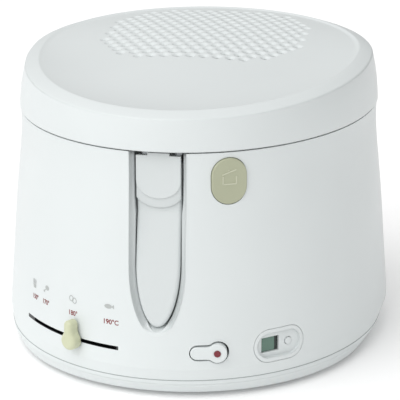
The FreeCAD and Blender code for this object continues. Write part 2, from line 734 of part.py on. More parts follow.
def make_rear_fittings():
    gland = gland_tube(S.gland_radius, S.gland_length)
    add_feature("cord_gland", gland.cut(gland_tube(S.gland_bore, S.gland_length)))
    block = bound("Part::Box", "TerminalBlock", {
        "Length": "Sizes.block_wide", "Width": "Sizes.block_deep", "Height": "Sizes.block_tall",
        "Placement.Base.x": "-Sizes.block_wide / 2",
        "Placement.Base.z": "Sizes.foot_height + Sizes.base_floor"})
    block.Placement.Base.y = WIDE_Y + S.block_rear - S.block_deep
    add_node(block, "terminal_block")


# Lid: shell with dished top, grille, liner and filter


def lid_form(inset, lower):
    """Lid's outer form, shrunk by inset and with its top lowered."""
    skirt = grown(RIM_EGG, S.lid_proud - inset)
    edge = grown(LID_EGG, -inset)
    middle = Egg(
        (skirt.half_width + edge.half_width) / 2 + S.lid_bow,
        (skirt.front + edge.front) / 2 + S.lid_bow / 2,
        (skirt.rear + edge.rear) / 2 + S.lid_bow,
        0,
    )
    edge_z = S.lid_edge_height - lower
    side = egg_loft([
        (skirt, LID_BOTTOM),
        (middle, (LID_BOTTOM + edge_z) / 2, S.lid_tilt / 2),
        (edge, edge_z, S.lid_tilt),
    ])
    ridge = grown(edge, -S.ridge_inset)
    bevel = egg_loft([(edge, edge_z, S.lid_tilt), (ridge, edge_z + S.ridge_rise, S.lid_tilt)], True)
    return side.fuse(bevel)


def dish_form(grow):
    """Space of the dish, grown downwards and outwards by the lid's wall for the inside."""
    crest = S.lid_edge_height + S.ridge_rise
    mouth = grown(LID_EGG, -S.ridge_inset - S.ridge_crest + grow)
    floor = grown(DISH_EGG, grow)
    return egg_loft([
        (floor, crest - S.dish_depth - grow, S.lid_tilt),
        (mouth, crest, S.lid_tilt),
    ], True)


def on_dish(shape):
    """Tilt a flat shape, drawn at height 0, onto the dish floor."""
    shape.translate(Vector(0, 0, S.lid_edge_height + S.ridge_rise - S.dish_depth))
    axis_point = Vector(0, WIDE_Y, S.lid_edge_height + S.ridge_rise - S.dish_depth)
    shape.rotate(axis_point, Vector(1, 0, 0), math.degrees(math.atan(S.lid_tilt)))
    return shape


def post_points():
    for side in (-1, 1):
        yield Vector(side * S.post_x, WIDE_Y - S.post_front, 0)
        yield Vector(side * S.post_x, WIDE_Y + S.post_rear, 0)


def make_lid():
    """Ring of skirt and sloped rim, its stretch over the handle apart, and the dished top within."""
    outer = lid_form(0, 0)
    dish_outside = dish_form(S.lid_wall)
    cavity = lid_form(S.lid_wall, S.lid_wall).cut(dish_outside)
    ring = outer.cut(dish_outside).cut(cavity).removeSplitter()

    def over_handle(wide):
        return centred_box(wide, 2 * S.rim_front, 2 * S.rim_height, 0, WIDE_Y - S.rim_front, 0)

    add_feature("lid_shell", ring.cut(over_handle(S.lid_front_width + 2 * S.lid_front_seam)))
    add_feature("lid_front", ring.common(over_handle(S.lid_front_width)))
    panel = outer.common(dish_outside).cut(dish_form(0))
    liner_top = LID_BOTTOM + S.liner_rise + S.liner_thickness
    bore = S.screw_radius + S.screw_play
    for point in post_points():
        foot = Vector(point.x, point.y, liner_top)
        post = Part.makeCylinder(S.post_radius, S.lid_edge_height, foot).common(cavity)
        panel = panel.fuse(post)
        panel = panel.cut(Part.makeCylinder(bore, S.screw_length, foot))
    grille_space = on_dish(
        oval_prism(S.vent_half_width, S.vent_half_depth, S.vent_rear, -2 * S.lid_wall, S.dish_depth)
    )
    add_feature("lid_top", panel.cut(grille_space).removeSplitter())
    add_feature("lid_catch", placed(catch_form(0), BUTTON_FRAME).common(
        cavity.fuse(slab(RIM_EGG, S.rim_height - S.catch_drop, LID_BOTTOM))))
    make_grille()
    make_liner(liner_top)
    return outer


def make_grille():
    half_width = S.vent_half_width - S.vent_seam
    half_depth = S.vent_half_depth - S.vent_seam
    plate = oval_prism(half_width, half_depth, S.vent_rear, -S.lid_wall, 0)
    across = half_width - S.vent_border - S.vent_radius
    along = half_depth - S.vent_border - S.vent_radius
    holes = []
    rows = int(along / S.vent_row)
    columns = int(across / S.vent_pitch) + 1
    for row in range(-rows, rows + 1):
        y = row * S.vent_row
        offset = (row % 2) * S.vent_pitch / 2
        for column in range(-columns, columns + 1):
            x = column * S.vent_pitch + offset
            if (x / across) ** 2 + (y / along) ** 2 > 1:
                continue
            holes.append(hexagon_prism(S.vent_radius, x, WIDE_Y + S.vent_rear + y))
    plate = plate.cut(Part.makeCompound(holes))
    add_feature("vent_grille", on_dish(plate))


def hexagon_prism(radius, x, y):
    low = -2 * S.lid_wall
    corners = []
    for index in range(6):
        turn = math.radians(60 * index)
        corners.append(Vector(x + radius * math.cos(turn), y + radius * math.sin(turn), low))
    face = Part.Face(Part.makePolygon(corners + corners[:1]))
    return face.extrude(Vector(0, 0, 3 * S.lid_wall))


def make_liner(liner_top):
    liner_bottom = liner_top - S.liner_thickness
    liner = slab(LINER_EGG, liner_bottom, liner_top)
    for index in range(int(S.liner_holes)):
        turn = 2 * math.pi * index / S.liner_holes
        spot = Vector(S.liner_ring * math.cos(turn), WIDE_Y + S.liner_ring * math.sin(turn), 0)
        liner = liner.cut(Part.makeCylinder(S.liner_hole, 2 * S.rim_height, spot))
    bore = S.screw_radius + S.screw_play
    for index, point in enumerate(post_points(), start=1):
        liner = liner.cut(Part.makeCylinder(bore, 2 * S.rim_height, point))
        head = bound("Part::Cylinder", f"LidScrewHead{index}", {
            "Radius": "Sizes.screw_head_radius", "Height": "Sizes.screw_head"})
        shank = bound("Part::Cylinder", f"LidScrewShank{index}", {
            "Radius": "Sizes.screw_radius", "Height": "Sizes.screw_length"})
        screw = doc.addObject("Part::Fuse", f"LidScrew{index}")
        screw.Base = head
        screw.Tool = shank
        screw.Placement.Base = Vector(point.x, point.y, liner_bottom - S.screw_head)
        add_node(screw, f"lid_screw_{index}")
    add_feature("lid_liner", liner)

    cover_bottom = liner_top + S.seat_gap
    pad_bottom = cover_bottom + S.cover_wall + S.seat_gap
    pad_top = pad_bottom + S.pad_height
    room = S.cover_wall + S.seat_gap
    cover = oval_prism(
        S.pad_half_width + room, S.pad_half_depth + room, S.pad_rear, cover_bottom, pad_top
    )
    cover = cover.cut(oval_prism(
        S.pad_half_width + S.seat_gap, S.pad_half_depth + S.seat_gap, S.pad_rear,
        cover_bottom + S.cover_wall, pad_top + S.cover_wall,
    ))
    for x in (-2, 0, 2):
        for y in (-1, 1):
            spot = Vector(2 * x * S.cover_hole, WIDE_Y + S.pad_rear + 2 * y * S.cover_hole, 0)
            cover = cover.cut(Part.makeCylinder(S.cover_hole, 2 * S.rim_height - pad_bottom, spot))
    add_feature("filter_cover", cover)
    pad = oval_prism(S.pad_half_width, S.pad_half_depth, S.pad_rear, pad_bottom, pad_top)
    add_feature("filter_pad", pad)


def make_hinge(casing_outer, lid_outer):
    half_lug = S.hinge_lug_wide / 2
    ear_start = half_lug + S.hinge_side_gap
    ear_end = ear_start + S.hinge_ear
    bore = cross_pin(S.hinge_pin_radius + S.pin_play, 2 * ear_end, S.hinge_rear, S.hinge_height)
    rear_face = S.hinge_rear + S.hinge_barrel
    inside = S.rim_rear - 2 * S.hinge_barrel

    def ear(half_wide):
        block = profile_prism([
            (inside, S.hinge_plate_bottom), (rear_face, S.hinge_plate_bottom + S.hinge_barrel),
            (rear_face, S.hinge_height), (inside, S.hinge_height)], half_wide)
        return block.fuse(cross_pin(S.hinge_barrel, half_wide, S.hinge_rear, S.hinge_height))

    middle = profile_prism([
        (inside, S.hinge_plate_bottom), (S.hinge_rear, S.hinge_plate_bottom + S.hinge_barrel),
        (S.hinge_rear, S.hinge_plate_top), (inside, S.hinge_plate_top)], ear_start)
    wide_gap = centred_box(
        2 * ear_start, 4 * S.rim_rear, S.rim_height, 0, WIDE_Y + S.rim_rear, S.hinge_plate_top
    )
    below_gap = centred_box(
        2 * ear_start, 4 * S.rim_rear, S.rim_height, 0, WIDE_Y + S.rim_rear, 0
    )
    ears = ear(ear_end).cut(wide_gap).cut(below_gap)
    keep_out = casing_solid(S.seat_gap / 2, S.rim_height)
    above_deck = slab(grown(RIM_EGG, S.lid_proud + 2 * S.seat_gap), S.rim_height, S.lid_edge_height)
    bracket = ears.fuse(middle).cut(keep_out).cut(above_deck).cut(bore)
    add_feature("hinge_bracket", bracket.removeSplitter())

    arm = profile_prism([
        (inside, S.hinge_height - S.hinge_pin_radius), (S.hinge_rear, S.hinge_height - S.hinge_barrel),
        (S.hinge_rear, S.hinge_height + S.hinge_barrel), (inside, S.hinge_height + 2 * S.hinge_barrel)],
        half_lug)
    lug = arm.fuse(cross_pin(S.hinge_barrel, half_lug, S.hinge_rear, S.hinge_height))
    lug = lug.cut(lid_outer).cut(bore)
    below_lid = slab(grown(RIM_EGG, S.lid_proud), S.rim_height - S.wall, LID_BOTTOM)
    lug = lug.cut(below_lid).removeSplitter()
    add_feature("lid_hinge_lug", lug)

    pin = bound("Part::Cylinder", "HingePin", {
        "Radius": "Sizes.hinge_pin_radius",
        "Height": "Sizes.hinge_lug_wide + 2 * Sizes.hinge_ear + 2 * Sizes.hinge_side_gap",
        "Placement.Base.z": "Sizes.hinge_height"})
    pin.Placement = Placement(
        Vector(-ear_end, WIDE_Y + S.hinge_rear, S.hinge_height),
        FreeCAD.Rotation(Vector(0, 1, 0), 90),
    )
    add_node(pin, "hinge_pin")


# Basket, bracket and folding handle


def make_bracket():
    """Two straps from the basket, over the rim and down to the handle's pivot."""
    crown_low = TANK_TOP + S.seat_gap
    crown_high = crown_low + S.arm_thickness
    outer_back = -S.channel_floor - S.strap_gap - S.arm_thickness
    outer_leg = outer_back + S.arm_thickness
    inner_leg = -S.tank_front + S.tank_wall + 3 * S.tank_play + S.leg_gap
    inner_face = inner_leg + S.arm_thickness
    leg_bottom = S.basket_top - 4 * S.arm_thickness
    lug_low = S.pivot_height - S.lug_radius
    strap = [
        (outer_back, lug_low), (outer_leg, lug_low), (outer_leg, crown_low),
        (inner_leg, crown_low), (inner_leg, leg_bottom), (inner_face, leg_bottom),
        (inner_face, crown_high), (outer_back, crown_high),
    ]
    half_wide = S.arm_wide / 2
    arm = profile_prism(strap, half_wide)
    lug = profile_prism([
        (outer_back, lug_low), (outer_back, S.pivot_height + S.lug_radius),
        (-S.pivot_front, S.pivot_height + S.lug_radius), (-S.pivot_front, lug_low)], half_wide)
    arm = arm.fuse(lug).fuse(cross_pin(S.lug_radius, half_wide, -S.pivot_front, S.pivot_height))
    arm = arm.cut(
        cross_pin(S.pivot_pin_radius + S.pin_play, 2 * half_wide, -S.pivot_front, S.pivot_height)
    )
    offset = S.arm_inner + half_wide
    right = arm.copy()
    right.translate(Vector(offset, 0, 0))
    left = arm.copy()
    left.translate(Vector(-offset, 0, 0))
    bridge = profile_prism([
        (inner_leg, S.basket_top), (inner_face, S.basket_top),
        (inner_face, leg_bottom), (inner_leg, leg_bottom)], offset)
    add_feature("basket_bracket", right.fuse(left).fuse(bridge).removeSplitter())

    pin_half = S.arm_inner + S.arm_wide
    pin = bound("Part::Cylinder", "HandlePin", {
        "Radius": "Sizes.pivot_pin_radius", "Height": "2 * (Sizes.arm_inner + Sizes.arm_wide)"})
    pin.Placement = Placement(
        Vector(-pin_half, WIDE_Y - S.pivot_front, S.pivot_height),
        FreeCAD.Rotation(Vector(0, 1, 0), 90),
    )
    add_node(pin, "handle_pin")
    return -inner_face - S.seat_gap


def make_basket(front):
    """Wire basket: a rim, a wall of upright bars and rings, and a floor grid in a ring."""
    top_egg = Egg(S.basket_half_width, front, S.basket_rear, 0)

    def level_egg(z):
        part_way = (S.basket_top - z) / (S.basket_top - S.basket_bottom)
        return grown(top_egg, -part_way * S.basket_taper)

    def ring(z):
        egg = level_egg(z)
        outer = slab(egg, z - S.basket_wire, z)
        return outer.cut(slab(grown(egg, -S.basket_wire), z - 2 * S.basket_wire, z + S.basket_wire))

    rings = int(S.basket_rings)
    gap = (S.basket_top - S.basket_bottom) / (rings - 1)
    levels = [S.basket_top - index * gap for index in range(rings)]
    add_feature("basket_rim", ring(levels[0]))
    bar_top = S.basket_top - S.basket_wire
    ends = [(level_egg(z), z) for z in (S.basket_bottom, bar_top)]
    bars = [
        basket_bar(2 * math.pi * (index + 0.5) / S.basket_bars, ends)
        for index in range(int(S.basket_bars))
    ]
    wall = bars[0].multiFuse(bars[1:] + [ring(z) for z in levels[1:-1]])
    add_feature("basket_wall", wall.removeSplitter())

    low_egg = level_egg(S.basket_bottom)
    floor = slab(grown(low_egg, -S.basket_wire / 2), S.basket_bottom - S.basket_wire, S.basket_bottom)
    lines = int(low_egg.front / S.basket_grid)
    span = 2 * low_egg.front
    grid = []
    for index in range(-lines, lines + 1):
        grid.append(centred_box(
            S.basket_wire, 2 * span, S.basket_wire,
            index * S.basket_grid, WIDE_Y, S.basket_bottom - S.basket_wire))
        grid.append(centred_box(
            2 * span, S.basket_wire, S.basket_wire,
            0, WIDE_Y + index * S.basket_grid, S.basket_bottom - S.basket_wire))
    net = grid[0].multiFuse(grid[1:]).common(floor)
    add_feature("basket_floor", net.fuse(ring(levels[-1])).removeSplitter())


def basket_bar(angle, ends):
    """Square upright between two outlines, half a wire inside them."""
    half = S.basket_wire / 2

    def outline_point(egg, z):
        reach = egg.rear if math.sin(angle) > 0 else egg.front
        x = (egg.half_width - half) * math.cos(angle)
        y = (reach - half) * math.sin(angle)
        return Vector(x, WIDE_Y + y, z)

    wires = []
    for egg, z in ends:
        middle = outline_point(egg, z)
        corners = [
            middle + Vector(dx * half, dy * half, 0)
            for dx, dy in ((-1, -1), (1, -1), (1, 1), (-1, 1))
        ]
        wires.append(Part.makePolygon(corners + corners[:1]))
    return Part.makeLoft(wires, True, True)


def make_handle():
    face = -S.rim_front + S.handle_recess
    back_of_lock = face + S.lock_thickness
    grip_face = back_of_lock + S.seat_gap
    top = S.rim_height - S.grip_top_gap
    half_wide = S.handle_wide / 2
    step_bottom = S.lock_bottom - S.lock_travel - 2 * S.seat_gap
    bulge_z = (step_bottom + S.grip_tip) / 2
    rear_face = -S.pivot_front + S.hub_radius - S.grip_back_inset
    tip_front = -S.grip_tip_front
    tip_back = tip_front + S.grip_tip_thickness
    below_tip = S.grip_tip - S.grip_round

    # Side profile of the grip: flat behind the lock plate, then bulging and thinning to its tip
    def side_point(y, z):
        return Vector(-half_wide, WIDE_Y + y, z)

    front_bow = Part.Arc(
        side_point(grip_face, step_bottom),
        side_point(-S.grip_bulge, bulge_z),
        side_point(tip_front, below_tip),
    ).toShape()
    side_edges = [
        Part.makeLine(side_point(rear_face, S.pivot_height), side_point(grip_face, S.pivot_height)),
        Part.makeLine(side_point(grip_face, S.pivot_height), side_point(grip_face, step_bottom)),
        front_bow,
        Part.makeLine(side_point(tip_front, below_tip), side_point(tip_back, below_tip)),
        Part.makeLine(side_point(tip_back, below_tip), side_point(rear_face, bulge_z)),
        Part.makeLine(side_point(rear_face, bulge_z), side_point(rear_face, S.pivot_height)),
    ]
    side = Part.Face(Part.Wire(side_edges)).extrude(Vector(2 * half_wide, 0, 0))

    # Front outline: straight sides and a long round tip, as the channel's
    outline = u_prism(half_wide, top, S.grip_tip, S.grip_curve, 0, S.rim_front)
    grip = side.common(placed(outline, turned_frame(Vector(), 0)))
    tip_middle = (tip_front + tip_back) / 2
    lean = (tip_middle - grip_face) / (step_bottom - below_tip)

    def in_front(middle):
        return middle.y < WIDE_Y + grip_face + lean * (step_bottom - middle.z)

    front_edges = [
        edge for edge in grip.Edges
        if in_front(edge.CenterOfMass)
        and edge.BoundBox.ZLength > S.grip_round
        and abs(edge.CenterOfMass.x) > S.lock_rib
    ]
    grip = grip.makeFillet(S.grip_round, front_edges)

    # Room for the straps' lugs at both sides, a hub between them, and the pin's bore
    lug_room = S.lug_radius + 2 * S.slide_gap
    for side_sign in (-1, 1):
        x = side_sign * (S.arm_inner + S.arm_wide / 2)
        room = centred_box(
            S.arm_wide + 2 * S.slide_gap, S.grip_thickness, 3 * lug_room,
            x, WIDE_Y - S.pivot_front + S.grip_thickness / 2 - lug_room, S.pivot_height - 2 * lug_room)
        grip = grip.cut(room)
    hub_half = S.arm_inner - S.slide_gap
    hub = cross_pin(S.hub_radius, hub_half, -S.pivot_front, S.pivot_height)
    hub = hub.cut(centred_box(
        2 * S.handle_wide, S.grip_thickness, 4 * S.hub_radius,
        0, WIDE_Y + grip_face - S.grip_thickness / 2, S.pivot_height - 2 * S.hub_radius))
    grip = grip.fuse(hub)
    grip = grip.cut(cross_pin(
        S.pivot_pin_radius + S.pin_play, S.handle_wide, -S.pivot_front, S.pivot_height))
    rib_low = S.lock_bottom + S.lock_thickness
    rib_tall = 3 * S.lock_travel
    rib_slot = centred_box(
        S.lock_rib + 2 * S.seat_gap, 2 * S.lock_thickness, rib_tall + S.lock_travel + 2 * S.seat_gap,
        0, WIDE_Y + grip_face, rib_low - S.lock_travel - S.seat_gap)
    grip = grip.cut(rib_slot)
    add_feature("handle_grip", grip.removeSplitter())
    make_lock(face, top, rib_low, rib_tall)


def make_lock(face, top, rib_low, rib_tall):
    """Sliding plate over the grip's root: notched top corners, a round lower end and a band below."""
    half_wide = S.handle_wide / 2
    band_z = S.lock_bottom + S.lock_sag
    crest_z = S.lock_bottom + S.band_tall

    # Face plate, with its lower end a half ellipse
    facing = turned_frame(Vector(0, WIDE_Y + face, 0), 0)
    plate = placed(
        u_prism(half_wide, top, crest_z, S.crest_curve, -S.lock_thickness, 0), facing)
    for side_sign in (-1, 1):
        plate = plate.cut(centred_box(
            S.handle_wide - S.lock_tongue, 4 * S.lock_thickness, 2 * S.lock_notch,
            side_sign * S.handle_wide / 2, WIDE_Y + face, top - S.lock_notch))

    # Thinner band behind it, down to the lower edge
    def band_point(x, z):
        return Vector(x, WIDE_Y + face + S.band_step, z)

    band_top = crest_z + S.crest_curve
    corners = [(half_wide, band_z), (half_wide, band_top), (-half_wide, band_top), (-half_wide, band_z)]
    edges = [
        Part.makeLine(band_point(*start), band_point(*end))
        for start, end in zip(corners, corners[1:])
    ]
    edges.append(Part.Arc(
        band_point(-half_wide, band_z), band_point(0, S.lock_bottom), band_point(half_wide, band_z)
    ).toShape())
    band = Part.Face(Part.Wire(edges)).extrude(Vector(0, S.lock_thickness - S.band_step, 0))
    plate = plate.fuse(band)
    rib = centred_box(
        S.lock_rib, S.lock_thickness - 2 * S.seat_gap, rib_tall, 0,
        WIDE_Y + face + 1.5 * S.lock_thickness - S.seat_gap, rib_low)
    add_feature("handle_lock", plate.fuse(rib).removeSplitter())


casing_outer = make_casing()
make_base()
make_feet()
make_tank()
make_heating()
make_thermostat()
make_release_button(S.rim_height - S.deck)
make_rocker()
make_timer(casing_outer)
make_rear_fittings()
lid_outer = make_lid()
make_hinge(casing_outer, lid_outer)
basket_front = make_bracket()
make_basket(basket_front)
make_handle()

doc.recompute()
for thing in doc.Objects:
    if "Invalid" in thing.State or "Error" in thing.State:
        raise RuntimeError(f"{thing.Name} failed: {thing.State}")
for piece in nodes:
    if piece.Shape.isNull() or not piece.Shape.isValid():
        raise RuntimeError(f"{piece.Label} has no valid shape")
    if len(piece.Shape.Solids) != 1:
        raise RuntimeError(f"{piece.Label} has {len(piece.Shape.Solids)} solids")

os.makedirs("parts", exist_ok=True)
for piece in nodes:
    piece.Shape.exportStep(f"parts/{piece.Label}.step")
print(len(nodes), "sub-parts written")
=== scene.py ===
# %% [markdown]
# This lesson dresses a cool-wall deep fryer: an egg-shaped white casing, a tilted lid with a
# low vented dome, a folding basket handle and a row of controls along the foot.
# The solids come from CAD and keep their places. Here they get their finishes, and the forms
# that show most in the picture are built again as finer meshes.

# %% Load the frame
import json
import math

import bmesh
import bpy
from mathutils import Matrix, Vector


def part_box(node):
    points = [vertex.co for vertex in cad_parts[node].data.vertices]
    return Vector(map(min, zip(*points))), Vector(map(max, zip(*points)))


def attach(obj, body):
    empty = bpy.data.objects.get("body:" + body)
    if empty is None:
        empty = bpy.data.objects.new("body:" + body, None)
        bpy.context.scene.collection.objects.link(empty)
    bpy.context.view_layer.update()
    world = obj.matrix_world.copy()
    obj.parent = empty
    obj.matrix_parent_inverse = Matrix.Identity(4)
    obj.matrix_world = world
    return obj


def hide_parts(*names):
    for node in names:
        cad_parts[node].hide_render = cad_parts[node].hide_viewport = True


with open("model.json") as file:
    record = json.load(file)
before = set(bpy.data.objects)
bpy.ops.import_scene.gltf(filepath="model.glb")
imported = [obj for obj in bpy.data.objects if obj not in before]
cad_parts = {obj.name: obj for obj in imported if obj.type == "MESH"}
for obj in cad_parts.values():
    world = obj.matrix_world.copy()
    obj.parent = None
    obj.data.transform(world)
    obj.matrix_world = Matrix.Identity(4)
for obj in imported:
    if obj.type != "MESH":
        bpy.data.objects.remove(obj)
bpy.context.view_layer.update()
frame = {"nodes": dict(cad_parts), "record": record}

# %% [markdown]
# Lengths below are in millimetres, as a maker writes them, and turn to metres only where a
# point goes into a mesh. The casing and the lid are egg-shaped in plan: two half ellipses that
# meet on the widest line, one reaching to the front and one to the rear. One function gives a
# ring of points round such an egg, level or tilted about the widest line.

# %% Egg outlines
MM = 0.001
WIDE_Y = 21.5
ROUND = 240


def egg_ring(egg, height, tilt=0.0):
    """Points round an egg outline, in metres. Tilt is the rise per millimetre to the rear."""
    half_width, front, rear = egg
    lean = math.atan(tilt)
    ring = []
    for index in range(ROUND):
        turn = 2 * math.pi * index / ROUND
        reach = rear if math.sin(turn) > 0 else front
        along = reach * math.sin(turn)
        across = half_width * math.cos(turn)
        point = (across, WIDE_Y + along * math.cos(lean), height + along * math.sin(lean))
        ring.append(Vector(point) * MM)
    return ring


def grown(egg, amount):
    return tuple(size + amount for size in egg)


def between(low, high, share):
    return tuple(a + (b - a) * share for a, b in zip(low, high))


print("points round an outline:", ROUND)

# %% [markdown]
# A turned or moulded form can be built as rings of points joined by quads. That keeps the
# outline exact and the shading smooth, where a modifier stack on a rough block would drift
# from the measured shape. Edges sharper than 35 degrees stay crisp.

# %% Meshes from rings
CRISP = math.radians(35)


def join_rings(shape, rings, closed=False, around=True):
    """Quads between rings of equal length. Closed also joins the last ring to the first.
    Without around, a ring's last point isn't joined to its first."""
    rows = [[shape.verts.new(point) for point in ring] for ring in rings]
    following = rows[1:] + rows[:1] if closed else rows[1:]
    count = len(rows[0])
    for low, high in zip(rows, following):
        for index in range(count if around else count - 1):
            nearby = (index + 1) % count
            shape.faces.new((low[index], low[nearby], high[nearby], high[index]))
    return rows


def mesh_piece(name, shape):
    """Turns a bmesh into an object of the scene with smooth faces and crisp edges."""
    bmesh.ops.recalc_face_normals(shape, faces=shape.faces)
    mesh = bpy.data.meshes.new(name)
    shape.to_mesh(mesh)
    shape.free()
    mesh.shade_smooth()
    mesh.set_sharp_from_angle(angle=CRISP)
    piece = bpy.data.objects.new(name, mesh)
    bpy.context.scene.collection.objects.link(piece)
    return piece


def dress(piece, material, body, slot, *stands_for):
    """Gives a piece its finish, its body and the CAD nodes that it stands for."""
    piece.data.materials.append(material)
    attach(piece, body)
    if stands_for:
        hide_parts(*stands_for)
    print(piece.name, "rides on", body, "for", stands_for or "no node")
    return piece


# %% [markdown]
# Every finish is a node tree. One function adds a node with its settings and its inputs, where
# an input is either a value or the output of another node. Colours are written as sRGB hex,
# the way a colour picker shows them, and one function turns them to the linear values that a
# shader works with.

# %% Tools for finishes
def to_linear(hex_colour):
    """Linear colour of an sRGB hex value such as EEF2F2."""
    channels = []
    for start in (0, 2, 4):
        level = int(hex_colour[start:start + 2], 16) / 255
        if level <= 0.04045:
            channels.append(level / 12.92)
        else:
            channels.append(((level + 0.055) / 1.055) ** 2.4)
    return (*channels, 1.0)


def set_inputs(material, node, inputs):
    """Gives sockets their values, or links them when the value is an output."""
    for socket, value in inputs.items():
        if isinstance(value, bpy.types.NodeSocket):
            material.node_tree.links.new(value, node.inputs[socket])
        else:
            node.inputs[socket].default_value = value


def add_node(material, kind, settings, inputs):
    """Adds a node with its settings and inputs."""
    node = material.node_tree.nodes.new(kind)
    for name, value in settings.items():
        setattr(node, name, value)
    set_inputs(material, node, inputs)
    return node


def new_finish(name):
    """An empty node material, its shader and the object coordinates in metres."""
    material = bpy.data.materials.new(name)
    material.use_nodes = True
    shader = material.node_tree.nodes["Principled BSDF"]
    place = add_node(material, "ShaderNodeTexCoord", {}, {}).outputs["Object"]
    return material, shader, place


def per_mm(size):
    """Scale of a texture whose features are this many millimetres across."""
    return 1 / (size * MM)


print("white in linear:", to_linear("EEF2F2"))

# %% [markdown]
# The casing, lid and handle are white ABS, injection-moulded in a finely spark-eroded tool.
# The eye gets a clean, slightly cool white with soft, wide highlights, edges rounded by the
# tool, and hardly any grain. The spark texture is about 0.1 mm on the real part. It is drawn
# at 0.7 mm, because finer grain would vanish at this picture's size. The Bevel node rounds
# the CAD edges in shading only, so no CAD mesh is changed.

# %% Moulded ABS
SPARK_MM = 0.7
FLOW_MM = 70


def moulded_plastic(name, light, shade, roughness, edge_mm, grain=0.012, ior=1.53):
    """Moulded thermoplastic with faint flow marks, tool grain and rounded edges."""
    material, shader, place = new_finish(name)
    flow = add_node(material, "ShaderNodeTexNoise", {}, {
        "Vector": place, "Scale": per_mm(FLOW_MM), "Detail": 2.0})
    tint = add_node(material, "ShaderNodeMix", {"data_type": "RGBA"}, {
        0: flow.outputs[0], 6: to_linear(light), 7: to_linear(shade)})
    gloss = add_node(material, "ShaderNodeMapRange", {}, {
        "Value": flow.outputs[0], "To Min": roughness - 0.05, "To Max": roughness + 0.05})
    soft_edge = add_node(material, "ShaderNodeBevel", {"samples": 4}, {"Radius": edge_mm * MM})
    spark = add_node(material, "ShaderNodeTexNoise", {}, {
        "Vector": place, "Scale": per_mm(SPARK_MM), "Detail": 1.0})
    bump = add_node(material, "ShaderNodeBump", {}, {
        "Strength": 1.0, "Distance": grain * MM, "Height": spark.outputs[0],
        "Normal": soft_edge.outputs["Normal"]})
    set_inputs(material, shader, {
        "Base Color": tint.outputs[2], "Roughness": gloss.outputs["Result"], "IOR": ior,
        "Normal": bump.outputs["Normal"]})
    return material


white_abs = moulded_plastic("white_moulded_abs", "DADFDF", "D5DADA", 0.36, 0.9)
casing_abs = moulded_plastic("white_moulded_abs_crisp", "DADFDF", "D5DADA", 0.36, 0.25)
# Painted shade: a greyer copy of the white ABS for the inside of the handle channel.
channel_shade_abs = moulded_plastic("white_moulded_abs_shaded", "C9CECE", "C4C9C9", 0.4, 0.25)
handle_abs = moulded_plastic("white_moulded_abs_handle", "D0D5D5", "CBD0D0", 0.36, 0.9)
beige_abs = moulded_plastic("beige_moulded_abs", "AFB299", "A6A98F", 0.42, 0.8)
cream_abs = moulded_plastic("cream_moulded_abs", "CBCEB0", "C1C5A5", 0.4, 0.8)
grey_abs = moulded_plastic("grey_moulded_abs", "C4C8C8", "B9BEBE", 0.45, 0.5)
# Painted shadow: this grey draws the shadow line of the joint round the apron.
seam_shadow_grey = moulded_plastic("grey_painted_seam_shadow", "9CA3A3", "939A9A", 0.6, 0.2)
dark_nylon = moulded_plastic("black_glass_filled_nylon", "232425", "1A1B1C", 0.55, 0.5)
print("moulded plastics:", white_abs.name, beige_abs.name, grey_abs.name, dark_nylon.name)

# %% [markdown]
# Two places of the white plastic are shaded by hand. The cut edges of the thermostat's slot lie
# in deep shadow and read as black, and the inside of the handle channel is a little greyer
# than the casing but fades to its white at the foot. Splitting the meshes would do it too. A
# mask by place keeps the CAD mesh as it is.

# %% Shade by place
SLOT_ENDS = (-112.0, -29.0)
SLOT_HEIGHT = 37.0
SLOT_HALF = 1.45
CHANNEL_FADE = (50.0, 62.0)


def base_colour(material):
    """Shader of a finish, the output that colours it and its object coordinates, split."""
    shader = material.node_tree.nodes["Principled BSDF"]
    tint = shader.inputs["Base Color"].links[0].from_socket
    place = add_node(material, "ShaderNodeTexCoord", {}, {}).outputs["Object"]
    return shader, tint, add_node(material, "ShaderNodeSeparateXYZ", {}, {0: place})


def dark_slot(material, ends, height, half_tall):
    """Darkens the cut edges of a slot in the front wall."""
    shader, tint, parts = base_colour(material)
    level = add_node(material, "ShaderNodeMath", {"operation": "COMPARE"}, {
        0: parts.outputs["Z"], 1: height * MM, 2: half_tall * MM})
    along = add_node(material, "ShaderNodeMath", {"operation": "COMPARE"}, {
        0: parts.outputs["X"], 1: sum(ends) / 2 * MM, 2: (ends[1] - ends[0]) / 2 * MM})
    front = add_node(material, "ShaderNodeMath", {"operation": "LESS_THAN"}, {
        0: parts.outputs["Y"], 1: 0.0})
    band = add_node(material, "ShaderNodeMath", {"operation": "MULTIPLY"}, {
        0: level.outputs[0], 1: along.outputs[0]})
    inside = add_node(material, "ShaderNodeMath", {"operation": "MULTIPLY"}, {
        0: band.outputs[0], 1: front.outputs[0]})
    edge = add_node(material, "ShaderNodeMix", {"data_type": "RGBA"}, {
        0: inside.outputs[0], 6: tint, 7: to_linear("17181A")})
    set_inputs(material, shader, {"Base Color": edge.outputs[2]})


def pale_foot(material, pale, low, high):
    """Lets a finish fade to a paler colour from one height down to another."""
    shader, tint, parts = base_colour(material)
    share = add_node(material, "ShaderNodeMapRange", {}, {
        "Value": parts.outputs["Z"], "From Min": low * MM, "From Max": high * MM})
    fade = add_node(material, "ShaderNodeMix", {"data_type": "RGBA"}, {
        0: share.outputs["Result"], 6: to_linear(pale), 7: tint})
    set_inputs(material, shader, {"Base Color": fade.outputs[2]})


dark_slot(casing_abs, SLOT_ENDS, SLOT_HEIGHT, SLOT_HALF)
# The channel's painted shade fades out to the casing's white towards the foot.
pale_foot(channel_shade_abs, "DADFDF", *CHANNEL_FADE)
print("shaded by place:", casing_abs.name, channel_shade_abs.name)

# %% [markdown]
# The metals are three: plain steel for screws, pins and the tubular heater, chromed wire for
# the basket, and satin aluminium for the lid's liner and the heater's plate. Drawing and
# rolling leave lines along one way, so their noise is stretched. The real lines are about
# 0.05 mm apart and are drawn at 0.5 mm, so that they show.

# %% Metals
DRAWN_LINE_MM = 0.5


